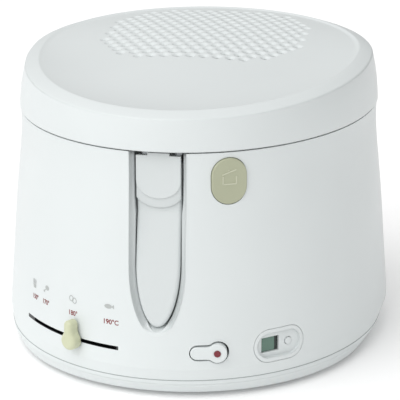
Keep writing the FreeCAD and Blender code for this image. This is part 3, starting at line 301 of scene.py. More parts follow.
def drawn_metal(name, light, shade, roughness, stretch):
    """Metal with fine lines along X and a slight change of gloss across them."""
    material, shader, place = new_finish(name)
    lines = add_node(material, "ShaderNodeMapping", {}, {
        "Vector": place, "Scale": (1 / stretch, 1.0, 1.0)})
    grain = add_node(material, "ShaderNodeTexNoise", {}, {
        "Vector": lines.outputs["Vector"], "Scale": per_mm(DRAWN_LINE_MM), "Detail": 3.0})
    tint = add_node(material, "ShaderNodeMix", {"data_type": "RGBA"}, {
        0: grain.outputs[0], 6: to_linear(light), 7: to_linear(shade)})
    gloss = add_node(material, "ShaderNodeMapRange", {}, {
        "Value": grain.outputs[0], "To Min": roughness - 0.06, "To Max": roughness + 0.08})
    bump = add_node(material, "ShaderNodeBump", {}, {
        "Strength": 1.0, "Distance": 0.006 * MM, "Height": grain.outputs[0]})
    set_inputs(material, shader, {
        "Base Color": tint.outputs[2], "Metallic": 1.0, "Roughness": gloss.outputs["Result"],
        "Normal": bump.outputs["Normal"]})
    return material


plain_steel = drawn_metal("drawn_carbon_steel", "B9BABA", "A3A4A4", 0.32, 1.0)
chromed_wire = drawn_metal("chrome_plated_wire", "DCDEE0", "CDD0D2", 0.14, 1.0)
satin_aluminium = drawn_metal("satin_rolled_aluminium", "D3D6D8", "BFC3C6", 0.34, 30.0)
print("metals:", plain_steel.name, chromed_wire.name, satin_aluminium.name)

# %% [markdown]
# The oil tank is pressed steel with a sprayed non-stick coating: charcoal, slightly pebbled,
# with pale flecks of filler about 0.4 mm across, drawn at 1.2 mm. The feet are moulded nitrile
# rubber, matt and nearly black. The timer's board is green solder resist on glass fibre.

# %% Coating, rubber and board
def flecked_coat(name, ground, fleck, fleck_mm, fleck_share, roughness, pebble):
    """Matt coat whose flecks show where a cell texture comes near a cell's middle."""
    material, shader, place = new_finish(name)
    cells = add_node(material, "ShaderNodeTexVoronoi", {}, {
        "Vector": place, "Scale": per_mm(fleck_mm)})
    spots = add_node(material, "ShaderNodeMapRange", {}, {
        "Value": cells.outputs["Distance"], "From Min": fleck_share,
        "From Max": fleck_share + 0.08, "To Min": 1.0, "To Max": 0.0})
    tint = add_node(material, "ShaderNodeMix", {"data_type": "RGBA"}, {
        0: spots.outputs["Result"], 6: to_linear(ground), 7: to_linear(fleck)})
    orange_peel = add_node(material, "ShaderNodeTexNoise", {}, {
        "Vector": place, "Scale": per_mm(2.5 * fleck_mm), "Detail": 2.0})
    gloss = add_node(material, "ShaderNodeMapRange", {}, {
        "Value": orange_peel.outputs[0], "To Min": roughness - 0.06, "To Max": roughness + 0.06})
    bump = add_node(material, "ShaderNodeBump", {}, {
        "Strength": 1.0, "Distance": pebble * MM, "Height": orange_peel.outputs[0]})
    set_inputs(material, shader, {
        "Base Color": tint.outputs[2], "Roughness": gloss.outputs["Result"],
        "Normal": bump.outputs["Normal"]})
    return material


nonstick = flecked_coat("sprayed_nonstick_coating", "2E2F31", "77797B", 1.2, 0.16, 0.42, 0.03)
nitrile = flecked_coat("moulded_nitrile_rubber", "1D1D1E", "2A2A2B", 0.8, 0.2, 0.78, 0.02)
board = flecked_coat("green_solder_resist", "1F5A35", "3B7C4F", 1.5, 0.12, 0.5, 0.01)
print("coats:", nonstick.name, nitrile.name, board.name)

# %% [markdown]
# The pilot lens is clear red polycarbonate over a small neon lamp. Its middle is nearly black
# and its rim a lighter wine red, a painted highlight where the rim catches light, so the colour
# follows the distance from the lens's middle. The display is a reflective liquid crystal behind
# a clear window: a grey-green sheet with very fine rows, drawn at 0.6 mm, and a dark strip at
# its right-hand edge, which is painted shadow of the recess's right-hand wall. A wave texture
# at scale 1 repeats every twentieth of a full turn, which sets the scale for its rows.

# %% Lens and display
ROW_MM = 0.6
WAVE_PERIOD = 2 * math.pi / 20
LENS_SHADE = (0.5, 1.3)
DISPLAY_SHADOW_STRIP = (2.3, 1.9)


def red_lens_finish():
    """Red lens, nearly black in the middle and lighter at the rim, a painted highlight."""
    low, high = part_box("pilot_lens")
    middle = (low + high) / 2
    material, shader, place = new_finish("clear_red_polycarbonate_painted_rim_highlight")
    away = add_node(material, "ShaderNodeVectorMath", {"operation": "DISTANCE"}, {
        0: place, 1: middle})
    share = add_node(material, "ShaderNodeMapRange", {}, {
        "Value": away.outputs["Value"],
        "From Min": LENS_SHADE[0] * MM, "From Max": LENS_SHADE[1] * MM})
    # Painted highlight: the rim is coloured lighter than the middle, as where it catches light.
    tint = add_node(material, "ShaderNodeMix", {"data_type": "RGBA"}, {
        0: share.outputs["Result"], 6: to_linear("2A0307"), 7: to_linear("7C1626")})
    edge = add_node(material, "ShaderNodeBevel", {"samples": 4}, {"Radius": 0.5 * MM})
    set_inputs(material, shader, {
        "Base Color": tint.outputs[2], "Roughness": 0.18, "IOR": 1.58,
        "Transmission Weight": 0.15, "Normal": edge.outputs["Normal"]})
    return material


def display_finish():
    """Grey-green reflective display with fine rows and a painted shadow strip at its right-hand
    edge.
    """
    low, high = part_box("lcd_window")
    material, shader, place = new_finish("reflective_liquid_crystal_painted_edge_shadow")
    rows = add_node(material, "ShaderNodeTexWave", {"bands_direction": "Z"}, {
        "Vector": place, "Scale": WAVE_PERIOD * per_mm(ROW_MM), "Distortion": 0.0})
    tint = add_node(material, "ShaderNodeMix", {"data_type": "RGBA"}, {
        0: rows.outputs[0], 6: to_linear("5F7D70"), 7: to_linear("5B786B")})
    parts = add_node(material, "ShaderNodeSeparateXYZ", {}, {0: place})
    # Painted shadow: the right-hand edge goes dark where the recess's wall shades the display.
    strip = add_node(material, "ShaderNodeMapRange", {}, {
        "Value": parts.outputs["X"], "From Min": high.x - DISPLAY_SHADOW_STRIP[0] * MM,
        "From Max": high.x - DISPLAY_SHADOW_STRIP[1] * MM})
    with_painted_shadow = add_node(material, "ShaderNodeMix", {"data_type": "RGBA"}, {
        0: strip.outputs["Result"], 6: tint.outputs[2], 7: to_linear("10201C")})
    set_inputs(material, shader, {
        "Base Color": with_painted_shadow.outputs[2], "Roughness": 0.22, "IOR": 1.52})
    return material


red_lens = red_lens_finish()
display = display_finish()
print("clear pieces:", red_lens.name, display.name)

# %% [markdown]
# Each CAD node names a slot in its record. A table from slot to finish paints every solid that
# stays in the picture, so a solid added later gets its finish with no new code.

# %% Paint the CAD nodes
FINISHES = {
    "white_plastic": white_abs,
    "beige_plastic": beige_abs,
    "grey_plastic": grey_abs,
    "dark_plastic": dark_nylon,
    "rubber": nitrile,
    "steel": plain_steel,
    "wire": chromed_wire,
    "aluminium": satin_aluminium,
    "coated_tank": nonstick,
    "red_lens": red_lens,
    "display": display,
    "board": board,
    "foam": dark_nylon,
}
node_slots = {}
for subpart in frame["record"]["subparts"]:
    node_slots[subpart["node"]] = subpart["material_slot"]
for node, slot in node_slots.items():
    solid = frame["nodes"][node]
    solid.data.materials.clear()
    solid.data.materials.append(FINISHES[slot])
frame["nodes"]["outer_casing"].data.materials[0] = casing_abs
frame["nodes"]["thermostat_knob"].data.materials[0] = cream_abs
frame["nodes"]["handle_grip"].data.materials[0] = handle_abs
frame["nodes"]["handle_lock"].data.materials[0] = handle_abs
frame["nodes"]["timer_button"].data.materials[0] = white_abs
print("painted nodes:", len(node_slots))

# %% [markdown]
# The lid is one moulding: a skirt that leans in and bows slightly, a crisp outer edge, a
# sloped rim band up to a rounded crest, a small step down inside it, and a low dome that
# carries the vents. It could be carved with booleans, but rings give smooth shading from edge
# to dome. The skirt's three measured outlines are joined by a curve through all of them, as a
# loft does.

# %% Lid outlines
RIM_EGG = (140.0, 180.0, 131.0)
LID_EGG = (135.7, 178.6, 126.6)
DISH_EGG = (112.0, 148.0, 110.0)
LID_PROUD = 0.7
LID_BOTTOM = 185.9
LID_EDGE = 222.3
LID_TILT = 0.0734
LID_BOW = 1.1
LID_WALL = 2.2
RIDGE_INSET = 10.5
RIDGE_RISE = 3.8
CREST = LID_EDGE + RIDGE_RISE
UNDERSIDE = CREST - 9.2


def through_three(first, second, third, share):
    """Value on the smooth curve through three values at shares 0, 1/2 and 1."""
    rest = 1 - share
    return (first * rest * (1 - 2 * share) + 4 * second * share * rest
            + third * share * (2 * share - 1))


def skirt_ring(share, inset, lower=0.0):
    """Ring on the lid's side, from its foot (0) to its outer edge (1)."""
    foot = grown(RIM_EGG, LID_PROUD - inset)
    edge = grown(LID_EGG, -inset)
    middle = [
        (foot[0] + edge[0]) / 2 + LID_BOW,
        (foot[1] + edge[1]) / 2 + LID_BOW / 2,
        (foot[2] + edge[2]) / 2 + LID_BOW,
    ]
    egg = [through_three(a, b, c, share) for a, b, c in zip(foot, middle, edge)]
    top = LID_EDGE - lower
    height = LID_BOTTOM + (top - LID_BOTTOM) * share
    return egg_ring(egg, height, LID_TILT * share)


print("lid from", LID_BOTTOM, "to", CREST, "mm on the widest line")

# %% Lid moulding
SKIRT_STEPS = 14
SKIRT_ENDS = (0.012, 0.977)
FOOT_ROUND = 0.5
EDGE_ROUND = [(0.05, -0.75), (0.22, -0.3), (0.55, 0.03), (1.1, 0.36)]
CREST_ROUND = [(9.3, 3.36), (10.1, 3.6), (10.8, 3.7), (11.5, 3.52)]
DOME_EGG = grown(LID_EGG, -CREST_ROUND[-1][0])
DOME_TOP = 6.0
DOME_STEP = 1.2
HOLLOW_BEND = 14.2
HOLLOW_STEP = 0.3
HOLLOW_BLEND = 70.0
DOME_STEPS = 16
DOME_REACH = 0.985
VENT_HALF_WIDTH = 88.0
VENT_HALF_DEPTH = 86.0
VENT_REAR = 25.0
VENT_FULLNESS = 2.6


def dome_height(across, along):
    """Height of the dome over the plane of the lid's crest. Along runs from the widest line.
    At the front the surface is hollow behind the rim before it rises, at the rear it is not."""
    half_width, front, rear = DOME_EGG
    reach = rear if along > 0 else front
    away = (across / half_width) ** 2 + (along / reach) ** 2
    full = DOME_TOP - (DOME_TOP + DOME_STEP) * away
    hollow = DOME_TOP - (DOME_TOP + HOLLOW_BEND + HOLLOW_STEP) * away + HOLLOW_BEND * away ** 2
    share = min(1.0, max(0.0, 0.5 + along / (2 * HOLLOW_BLEND)))
    share = share * share * (3 - 2 * share)
    return hollow + (full - hollow) * share


def on_dome(across, along, rise):
    """Point on the tilted dome or this far above it, in metres."""
    lean = math.atan(LID_TILT)
    up = dome_height(across, along) + rise
    y = WIDE_Y + along * math.cos(lean) - up * math.sin(lean)
    z = CREST + along * math.sin(lean) + up * math.cos(lean)
    return Vector((across, y, z)) * MM


def oval_plan():
    """Places (across, along) round the vented oval, which is fuller than an ellipse."""
    plan = []
    for index in range(ROUND):
        turn = 2 * math.pi * index / ROUND
        size = abs(math.cos(turn)) ** VENT_FULLNESS + abs(math.sin(turn)) ** VENT_FULLNESS
        reach = size ** (-1 / VENT_FULLNESS)
        across = VENT_HALF_WIDTH * reach * math.cos(turn)
        plan.append((across, VENT_REAR + VENT_HALF_DEPTH * reach * math.sin(turn)))
    return plan


def dome_plan(share):
    """Places round the dome, from its edge (0) to the vented oval (1)."""
    half_width, front, rear = DOME_EGG
    plan = []
    for index, goal in enumerate(oval_plan()):
        turn = 2 * math.pi * index / ROUND
        reach = rear if math.sin(turn) > 0 else front
        edge = (DOME_REACH * half_width * math.cos(turn), DOME_REACH * reach * math.sin(turn))
        plan.append(between(edge, goal, share))
    return plan


def vent_oval(rise):
    """Ring round the vented oval."""
    return [on_dome(across, along, rise) for across, along in oval_plan()]


def lid_outside():
    """Rings from the skirt's foot over the rim band and up the dome to the vented oval."""
    rings = [egg_ring(grown(RIM_EGG, LID_PROUD - FOOT_ROUND), LID_BOTTOM)]
    low, high = SKIRT_ENDS
    for step in range(SKIRT_STEPS):
        rings.append(skirt_ring(low + (high - low) * step / (SKIRT_STEPS - 1), 0))
    for inset, rise in EDGE_ROUND + CREST_ROUND:
        rings.append(egg_ring(grown(LID_EGG, -inset), LID_EDGE + rise, LID_TILT))
    for step in range(DOME_STEPS + 1):
        rings.append([on_dome(across, along, 0) for across, along in dome_plan(step / DOME_STEPS)])
    return rings


def lid_inside():
    """Rings back along the underside, a wall's thickness in, to the skirt's foot."""
    rings = [
        vent_oval(-LID_WALL),
        egg_ring(grown(DISH_EGG, LID_WALL), UNDERSIDE, LID_TILT),
        egg_ring(grown(LID_EGG, -RIDGE_INSET - LID_WALL), CREST - LID_WALL, LID_TILT),
    ]
    for step in range(5):
        rings.append(skirt_ring(1 - step / 4, LID_WALL, LID_WALL))
    return rings


lid_shape = bmesh.new()
join_rings(lid_shape, lid_inside() + lid_outside())
print("lid faces before its vents:", len(lid_shape.faces))

# %% [markdown]
# The vents are a staggered field of round holes, each with a wide countersink. From the
# camera the far side of a countersink catches the light and the hole below it shows as a grey
# dot. Booleans of over 200 cones would be slow and leave poor shading. Instead each vent is a
# six-sided cell with its countersink inside, and the cells tile the field like a honeycomb.

# %% Vents
VENT_PITCH = 10.3
VENT_ROW = 8.9
VENT_BORDER = 8.2
SINK_PROFILE = [(4.2, 0.0), (3.9, -0.1), (3.5, -0.4), (2.4, -1.3), (2.0, -1.6), (1.8, -LID_WALL)]
CELL_POINTS = 24


def cell_outline():
    """Points along a six-sided cell, even on each side, from its right-hand corner round."""
    half = VENT_PITCH / 2
    point = VENT_ROW * 2 / 3
    corners = [(half, -point / 2), (half, point / 2), (0, point),
               (-half, point / 2), (-half, -point / 2), (0, -point)]
    per_side = CELL_POINTS // 6
    outline = []
    for index, corner in enumerate(corners):
        following = corners[(index + 1) % 6]
        for step in range(per_side):
            outline.append(between(corner, following, step / per_side))
    return outline


def vent_places():
    """Middles of the vents: staggered rows inside the oval."""
    across = VENT_HALF_WIDTH - VENT_BORDER
    along = VENT_HALF_DEPTH - VENT_BORDER
    rows = int(along / VENT_ROW)
    columns = int(across / VENT_PITCH) + 1
    places = []
    for row in range(-rows, rows + 1):
        for column in range(-columns, columns + 1):
            x = column * VENT_PITCH + (row % 2) * VENT_PITCH / 2
            y = row * VENT_ROW
            if abs(x / across) ** VENT_FULLNESS + abs(y / along) ** VENT_FULLNESS <= 1:
                places.append((x, VENT_REAR + y))
    return places


def vent_cell(shape, x, y):
    """One cell: flat top, countersink, hole and flat underside."""
    outline = cell_outline()
    rings = [[on_dome(x + u, y + v, 0) for u, v in outline]]
    for radius, rise in SINK_PROFILE:
        ring = []
        for u, v in outline:
            stretch = radius / math.hypot(u, v)
            ring.append(on_dome(x + u * stretch, y + v * stretch, rise))
        rings.append(ring)
    rings.append([on_dome(x + u, y + v, -LID_WALL) for u, v in outline])
    join_rings(shape, rings)


def rise_over_dome(point):
    """How far a point given in metres lies above the dome, in millimetres."""
    lean = math.atan(LID_TILT)
    back = point.y / MM - WIDE_Y
    up = point.z / MM - CREST
    along = back * math.cos(lean) + up * math.sin(lean)
    return up * math.cos(lean) - back * math.sin(lean) - dome_height(point.x / MM, along)


def fill_border(shape, rise):
    """Faces between the cells and the oval edge round them."""
    normal = on_dome(0, 0, 1) - on_dome(0, 0, 0)
    border = []
    for edge in shape.edges:
        level = all(abs(rise_over_dome(vert.co) - rise) < 0.01 for vert in edge.verts)
        if level and len(edge.link_faces) == 1:
            border.append(edge)
    bmesh.ops.triangle_fill(shape, edges=border, use_beauty=True, normal=normal)


for vent_x, vent_y in vent_places():
    vent_cell(lid_shape, vent_x, vent_y)
bmesh.ops.remove_doubles(lid_shape, verts=lid_shape.verts, dist=1e-6)
fill_border(lid_shape, 0)
fill_border(lid_shape, -LID_WALL)
open_edges = [edge for edge in lid_shape.edges if len(edge.link_faces) == 1]
print("vents:", len(vent_places()), "open edges:", len(open_edges))
lid_moulding = mesh_piece("lid_moulding", lid_shape)
dress(lid_moulding, white_abs, "lid", "white_plastic",
      "lid_shell", "lid_front", "lid_top", "vent_grille")

# %% [markdown]
# The frying basket is welded from chromed wire. Square CAD bars would look like a cage cut
# from plate, so here every wire is a curve with a round bevel: a rim, rings, upright bars and
# a floor grid. The bars stand just inside the rings, as they do when they are spot-welded.

# %% Wire basket
BASKET_EGG = (100.0, 134.7, 92.0)
BASKET_TOP = 165.0
BASKET_BOTTOM = 75.0
BASKET_TAPER = 8.0
WIRE = 2.2
BASKET_RINGS = 4
BASKET_BARS = 32
BASKET_GRID = 22.0
GRID_REACH = 6
BAR_INSET = 1.2 * WIRE
THIN_WIRE = 0.45 * WIRE


def basket_egg(height, inset):
    part_way = (BASKET_TOP - height) / (BASKET_TOP - BASKET_BOTTOM)
    return grown(BASKET_EGG, -part_way * BASKET_TAPER - inset)


def wire_piece(name, runs, radius):
    """Round wires along runs of points. Each run says whether it is a closed ring."""
    curve = bpy.data.curves.new(name, "CURVE")
    curve.dimensions = "3D"
    curve.bevel_depth = radius * MM
    curve.bevel_resolution = 3
    curve.use_fill_caps = True
    for points, closed in runs:
        spline = curve.splines.new("POLY")
        spline.points.add(len(points) - 1)
        for spot, point in zip(spline.points, points):
            spot.co = (*point, 1.0)
        spline.use_cyclic_u = closed
        spline.use_smooth = True
    piece = bpy.data.objects.new(name, curve)
    bpy.context.scene.collection.objects.link(piece)
    return piece


def basket_ring(height):
    middle = height - WIRE / 2
    return egg_ring(basket_egg(middle, WIRE / 2), middle), True


def basket_bar(turn):
    """Upright just inside the rings, from the floor's ring to the rim."""
    points = []
    for height in (BASKET_BOTTOM - WIRE / 2, BASKET_TOP - WIRE / 2):
        half_width, front, rear = basket_egg(height, BAR_INSET)
        reach = rear if math.sin(turn) > 0 else front
        point = (half_width * math.cos(turn), WIDE_Y + reach * math.sin(turn), height)
        points.append(Vector(point) * MM)
    return points, False


ring_gap = (BASKET_TOP - BASKET_BOTTOM) / (BASKET_RINGS - 1)
ring_levels = [BASKET_TOP - index * ring_gap for index in range(BASKET_RINGS)]
rim_wire = wire_piece("basket_rim_wire", [basket_ring(ring_levels[0])], WIRE / 2)
dress(rim_wire, chromed_wire, "basket", "wire", "basket_rim")
wall_runs = [basket_ring(level) for level in ring_levels[1:-1]]
for number in range(BASKET_BARS):
    wall_runs.append(basket_bar(2 * math.pi * (number + 0.5) / BASKET_BARS))
wall_wires = wire_piece("basket_wall_wires", wall_runs, THIN_WIRE)
dress(wall_wires, chromed_wire, "basket", "wire", "basket_wall")

# %% Basket floor
def floor_line(offset, along_x):
    """Straight wire across the floor at an offset from the widest line or from the middle."""
    half_width, front, rear = basket_egg(BASKET_BOTTOM, WIRE / 2)
    level = BASKET_BOTTOM - WIRE / 2
    if along_x:
        reach = rear if offset > 0 else front
        end = half_width * math.sqrt(1 - (offset / reach) ** 2)
        ends = [(-end, WIDE_Y + offset, level), (end, WIDE_Y + offset, level)]
    else:
        share = math.sqrt(1 - (offset / half_width) ** 2)
        ends = [(offset, WIDE_Y - front * share, level), (offset, WIDE_Y + rear * share, level)]
    return [Vector(end) * MM for end in ends], False


floor_runs = [basket_ring(BASKET_BOTTOM)]
half_width, front, rear = basket_egg(BASKET_BOTTOM, WIRE / 2)
for step in range(-GRID_REACH, GRID_REACH + 1):
    offset = step * BASKET_GRID
    if abs(offset) < half_width:
        floor_runs.append(floor_line(offset, False))
    if -front < offset < rear:
        floor_runs.append(floor_line(offset, True))
floor_wires = wire_piece("basket_floor_wires", floor_runs, THIN_WIRE)
dress(floor_wires, chromed_wire, "basket", "wire", "basket_floor")
print("floor wires:", len(floor_runs) - 1)

# %% [markdown]
# The filter pad under the vents is reticulated foam, cut to an oval. Its edges are slightly
# crushed and its faces crowned. The pores of such foam are about 1 mm across and show as dark
# pits. They are drawn with a cell texture at 1.6 mm, so that they still show.

# %% Foam filter pad
PORE_MM = 1.6
PORE_DEPTH = 0.8
FOAM_POINTS = 64
FOAM_PROFILE = [(0.3, 1.0), (0.6, 0.98), (0.85, 0.93), (0.96, 0.8), (1.0, 0.45),
                (1.0, -0.45), (0.96, -0.8), (0.85, -0.93), (0.6, -0.98), (0.3, -1.0)]


def foam_finish():
    """Charcoal open-pored foam."""
    material, shader, place = new_finish("reticulated_polyurethane_foam")
    pores = add_node(material, "ShaderNodeTexVoronoi", {}, {
        "Vector": place, "Scale": per_mm(PORE_MM)})
    tint = add_node(material, "ShaderNodeMix", {"data_type": "RGBA"}, {
        0: pores.outputs["Distance"], 6: to_linear("101112"), 7: to_linear("4A4C4E")})
    bump = add_node(material, "ShaderNodeBump", {}, {
        "Strength": 1.0, "Distance": PORE_DEPTH * MM, "Height": pores.outputs["Distance"]})
    set_inputs(material, shader, {
        "Base Color": tint.outputs[2], "Roughness": 0.95, "Normal": bump.outputs["Normal"]})
    return material


def foam_pad():
    """Crowned oval pad inside the room that the CAD solid holds."""
    low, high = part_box("filter_pad")
    middle = (low + high) / 2
    half = (high - low) / 2
    shape = bmesh.new()
    rings = []
    for reach, rise in FOAM_PROFILE:
        ring = []
        for index in range(FOAM_POINTS):
            turn = 2 * math.pi * index / FOAM_POINTS
            x = middle.x + half.x * reach * math.cos(turn)
            y = middle.y + half.y * reach * math.sin(turn)
            ring.append(Vector((x, y, middle.z + half.z * rise)))
        rings.append(ring)
    rows = join_rings(shape, rings)
    shape.faces.new(rows[0])
    shape.faces.new(rows[-1])
    return mesh_piece("foam_filter", shape)


foam_filter = foam_pad()
dress(foam_filter, foam_finish(), "lid", "foam", "filter_pad")

# %% [markdown]
# The channel's lips, the prints and the button's sign all lie on the casing's front wall. Its
# outline at any height follows from the rim's egg and the flare towards the foot, so one
# function gives a point there with its directions, instead of a search over the CAD mesh.

# %% Places on the wall
INK_PROUD = 0.1
FLARE_TOP = 165.0
WIDEST = 24.0
FLARE_BOW = 0.06
FLARE = (12.0, 8.0)


def wall_frame(x, z):
    """Point on the casing's front wall with its right-hand and outward directions."""
    part_way = max(0.0, (FLARE_TOP - z) / (FLARE_TOP - WIDEST))
    share = part_way + FLARE_BOW * math.sin(math.pi * part_way)
    half_width = RIM_EGG[0] + FLARE[0] * share
    front = RIM_EGG[1] + FLARE[1] * share
    along = -front * math.sqrt(1 - (x / half_width) ** 2)
    angle = math.atan2(x / half_width ** 2, -along / front ** 2)
    right = Vector((math.cos(angle), math.sin(angle), 0))
    out = Vector((math.sin(angle), -math.cos(angle), 0))
    return Vector((x, WIDE_Y + along, z)), right, out


def on_wall(middle, u, v):
    """Point of a print, u along the wall and v up from its middle, in metres."""
    point, right, out = wall_frame(*middle)
    x = middle[0] + u * right.x
    point, right, out = wall_frame(x, middle[1] + v)
    return (point + out * INK_PROUD) * MM


print("wall at the first temperature:", [round(size, 1) for size in wall_frame(-104, 55)[0]])

# %% [markdown]
# The handle folds down into a channel with hollow lips, which leave a narrow gap beside the
# grip and fade out at the bottom, where the floor ramps up to the surface. CAD leaves that edge
# sharp. Here the lining is built again as loops of the channel's own U outline: down the lip,
# down the wall, then closing in across the floor. A Solidify modifier gives it thickness.
# From the lip inwards it takes the greyer finish, which is painted shade.

# %% Handle channel
CHANNEL_HALF = 17.8
CHANNEL_BOTTOM = 52.0
CHANNEL_CURVE = 50.0
CHANNEL_TOP = 185.0
CHANNEL_FLOOR = 156.0
RAMP_TOP = 68.0
RAMP_REACH = 30.0
LIP_WIDE = 3.0
LIP_DEEP = 5.5
LIP_CLOSES = 0.8
LIP_PROFILE = [(1.0, 0.0), (0.93, 0.14), (0.84, 0.32), (0.72, 0.52), (0.56, 0.72), (0.36, 0.88),
               (0.14, 0.97), (0.0, 1.1)]
LIP_EASE = 10.0
LEAST_ROOM = 0.02
LOCK_HEIGHT = 148.0
SIDE_STEPS = 16
CURVE_STEPS = 64


def channel_loop(grow, shrink=1.0):
    """Points (x, z) along the U, from its top left round its bottom to its top right."""
    half = (CHANNEL_HALF + grow) * shrink
    middle = CHANNEL_BOTTOM + CHANNEL_CURVE - grow
    sides = [CHANNEL_TOP + (middle - CHANNEL_TOP) * step / SIDE_STEPS for step in range(SIDE_STEPS)]
    loop = [(-half, height) for height in sides]
    for step in range(CURVE_STEPS + 1):
        turn = math.pi * (1 + step / CURVE_STEPS)
        loop.append((half * math.cos(turn), middle + CHANNEL_CURVE * shrink * math.sin(turn)))
    return loop + [(half, height) for height in reversed(sides)]


def floor_depth(z):
    """How far the channel's floor lies in front of the widest line."""
    return CHANNEL_FLOOR + RAMP_REACH * max(0.0, (RAMP_TOP - z) / (RAMP_TOP - CHANNEL_BOTTOM))


def lip_room(x, z):
    """Share of the lip that fits. It fades where the floor comes up to the surface."""
    depth = WIDE_Y - floor_depth(z) - wall_frame(x, z)[0].y
    return min(1.0, max(LEAST_ROOM, 0.5 * depth / LIP_DEEP))


def side_grow(z):
    """The side stands closer to the grip below the lock plate than beside it."""
    return -LIP_CLOSES * min(1.0, max(0.0, (LOCK_HEIGHT - z) / LIP_EASE))


print("channel loop points:", len(channel_loop(0)))

# %% Channel lining
SEAM_COVER = 3.4
SEAM_PROUD = 0.03
SIDE_SHARES = (0.15, 0.4, 0.7, 1.0)
FLOOR_SHARES = (0.85, 0.6, 0.3, 0.02)
LINING_WALL = 2.4
SHADED = 1


def lip_ring(wide, deep):
    """Loop down the lip, for shares of its width and depth."""
    ring = []
    for index, (x, z) in enumerate(channel_loop(0)):
        room = lip_room(x, z)
        closed = side_grow(z) * room
        grow = closed + (LIP_WIDE * room - closed) * wide
        x, z = channel_loop(grow)[index]
        point, right, out = wall_frame(x, z)
        ring.append((point + Vector((0, LIP_DEEP * room * deep, 0))) * MM)
    return ring


def lining_rings():
    """Loops over the seam, down the lip and the side, and across the floor."""
    rings = []
    for grow in (SEAM_COVER, LIP_WIDE + 0.02):
        ring = []
        for x, z in channel_loop(grow):
            point, right, out = wall_frame(x, z)
            ring.append((point + out * SEAM_PROUD) * MM)
        rings.append(ring)
    for wide, deep in LIP_PROFILE:
        rings.append(lip_ring(wide, deep))
    edge = rings[-1]
    for share in SIDE_SHARES:
        ring = []
        for point in edge:
            bottom = (WIDE_Y - floor_depth(point.z / MM)) * MM
            ring.append(Vector((point.x, point.y + (bottom - point.y) * share, point.z)))
        rings.append(ring)
    for shrink in FLOOR_SHARES:
        ring = []
        for x, z in channel_loop(0, shrink):
            ring.append(Vector((x, WIDE_Y - floor_depth(z), z)) * MM)
        rings.append(ring)
    return rings


lining_shape = bmesh.new()
rows = join_rings(lining_shape, lining_rings(), around=False)
count = len(rows[-1])
for face in list(lining_shape.faces)[count - 1:]:
    face.material_index = SHADED
for index in range(count // 2):
    left, right = rows[-1][index], rows[-1][count - 1 - index]
    below_left, below_right = rows[-1][index + 1], rows[-1][count - 2 - index]
    corners = [left, below_left, below_right, right]
    closing = lining_shape.faces.new(list(dict.fromkeys(corners)))
    closing.material_index = SHADED
channel_lining = mesh_piece("channel_lining", lining_shape)
thickness = channel_lining.modifiers.new("wall_thickness", "SOLIDIFY")
thickness.thickness = LINING_WALL * MM
thickness.offset = -1.0
dress(channel_lining, casing_abs, "housing", "white_plastic", "handle_recess")
channel_lining.data.materials.append(channel_shade_abs)

# %% [markdown]
# The lock plate's band reaches a little lower in the picture than its solid does, and covers
# the slot that its rib slides in. A thin curved strip faces the band and continues it there.
# It rides on the plate, so it moves with it.

# %% Lock plate's lower edge
LOCK_HALF = 16.3
LOCK_BOTTOM = 145.0
LOCK_SAG = 5.5
STRIP_TALL = 1.9
STRIP_FRONT = 173.95
STRIP_BACK = 172.95
STRIP_TOP = 163.0
STRIP_LEAST = 0.05
STRIP_ROUND = [(0.0, 0.35), (0.12, 0.1), (0.4, 0.0)]
STRIP_SPAN = 0.995 * LOCK_HALF
STRIP_STEPS = 40


def band_edge(x):
    """Height of the band's lower edge, an arc that is lowest in the middle."""
    radius = (LOCK_HALF ** 2 + LOCK_SAG ** 2) / (2 * LOCK_SAG)
    return LOCK_BOTTOM + radius - math.sqrt(radius ** 2 - x ** 2)


def strip_ring(x):
    """Corners of the strip at one place across, with a rounded lower front edge."""
    taper = STRIP_TALL * math.sqrt(max(0.0, 1 - (x / LOCK_HALF) ** 4))
    low = band_edge(x) - max(STRIP_LEAST, taper)
    rounded = [(STRIP_FRONT - back, low + rise) for back, rise in STRIP_ROUND]
    corners = [(STRIP_FRONT, STRIP_TOP), *rounded, (STRIP_BACK, low), (STRIP_BACK, STRIP_TOP)]
    return [Vector((x, WIDE_Y - front, z)) * MM for front, z in corners]


strip_shape = bmesh.new()
strip_rings = []
for step in range(STRIP_STEPS + 1):
    strip_rings.append(strip_ring(STRIP_SPAN * (2 * step / STRIP_STEPS - 1)))
strip_rows = join_rings(strip_shape, strip_rings)
strip_shape.faces.new(strip_rows[0])
strip_shape.faces.new(strip_rows[-1])
lock_lip = mesh_piece("lock_lip", strip_shape)
dress(lock_lip, handle_abs, "handle_lock", "white_plastic")

# %% [markdown]
# Just above the foot a fine shadow line runs round the casing's sloped apron, most likely the
# joint of two mouldings. A groove would need a cut in the CAD mesh, so a thin grey cord sunk
# into the surface draws the line instead, from every side. Its path is found by casting rays
# at the casing, so that it follows the solid.

# %% Seam round the apron
SEAM_HEIGHT = 15.3
SEAM_RADIUS = 0.4
SEAM_SUNK = 0.12
RAY_START = 0.5


def outline_at(solid, height):
    """Points round a solid at one height, found by rays from outside towards its middle."""
    ring = []
    for index in range(ROUND):
        turn = 2 * math.pi * index / ROUND
        away = Vector((math.cos(turn), math.sin(turn), 0))
        start = away * RAY_START + Vector((0, 0, height * MM))
        found, point, normal, face = solid.ray_cast(start, -away)
        ring.append(point - normal * SEAM_SUNK * MM)
    return ring


bpy.context.view_layer.update()
seam_points = outline_at(frame["nodes"]["outer_casing"], SEAM_HEIGHT)
apron_seam = wire_piece("apron_seam", [(seam_points, True)], SEAM_RADIUS)
dress(apron_seam, seam_shadow_grey, "housing", "grey_plastic")

# %% [markdown]
# Temperatures and small food signs are pad-printed above the thermostat's slot. The ink is
# matt, with the slight mottle that a silicone pad leaves. Print follows the wall, so each flat
# outline is bent onto the casing's curve, a tenth of a millimetre proud, instead of being
# projected as a texture.

# %% Printing ink and painted highlight
MOTTLE_MM = 0.8


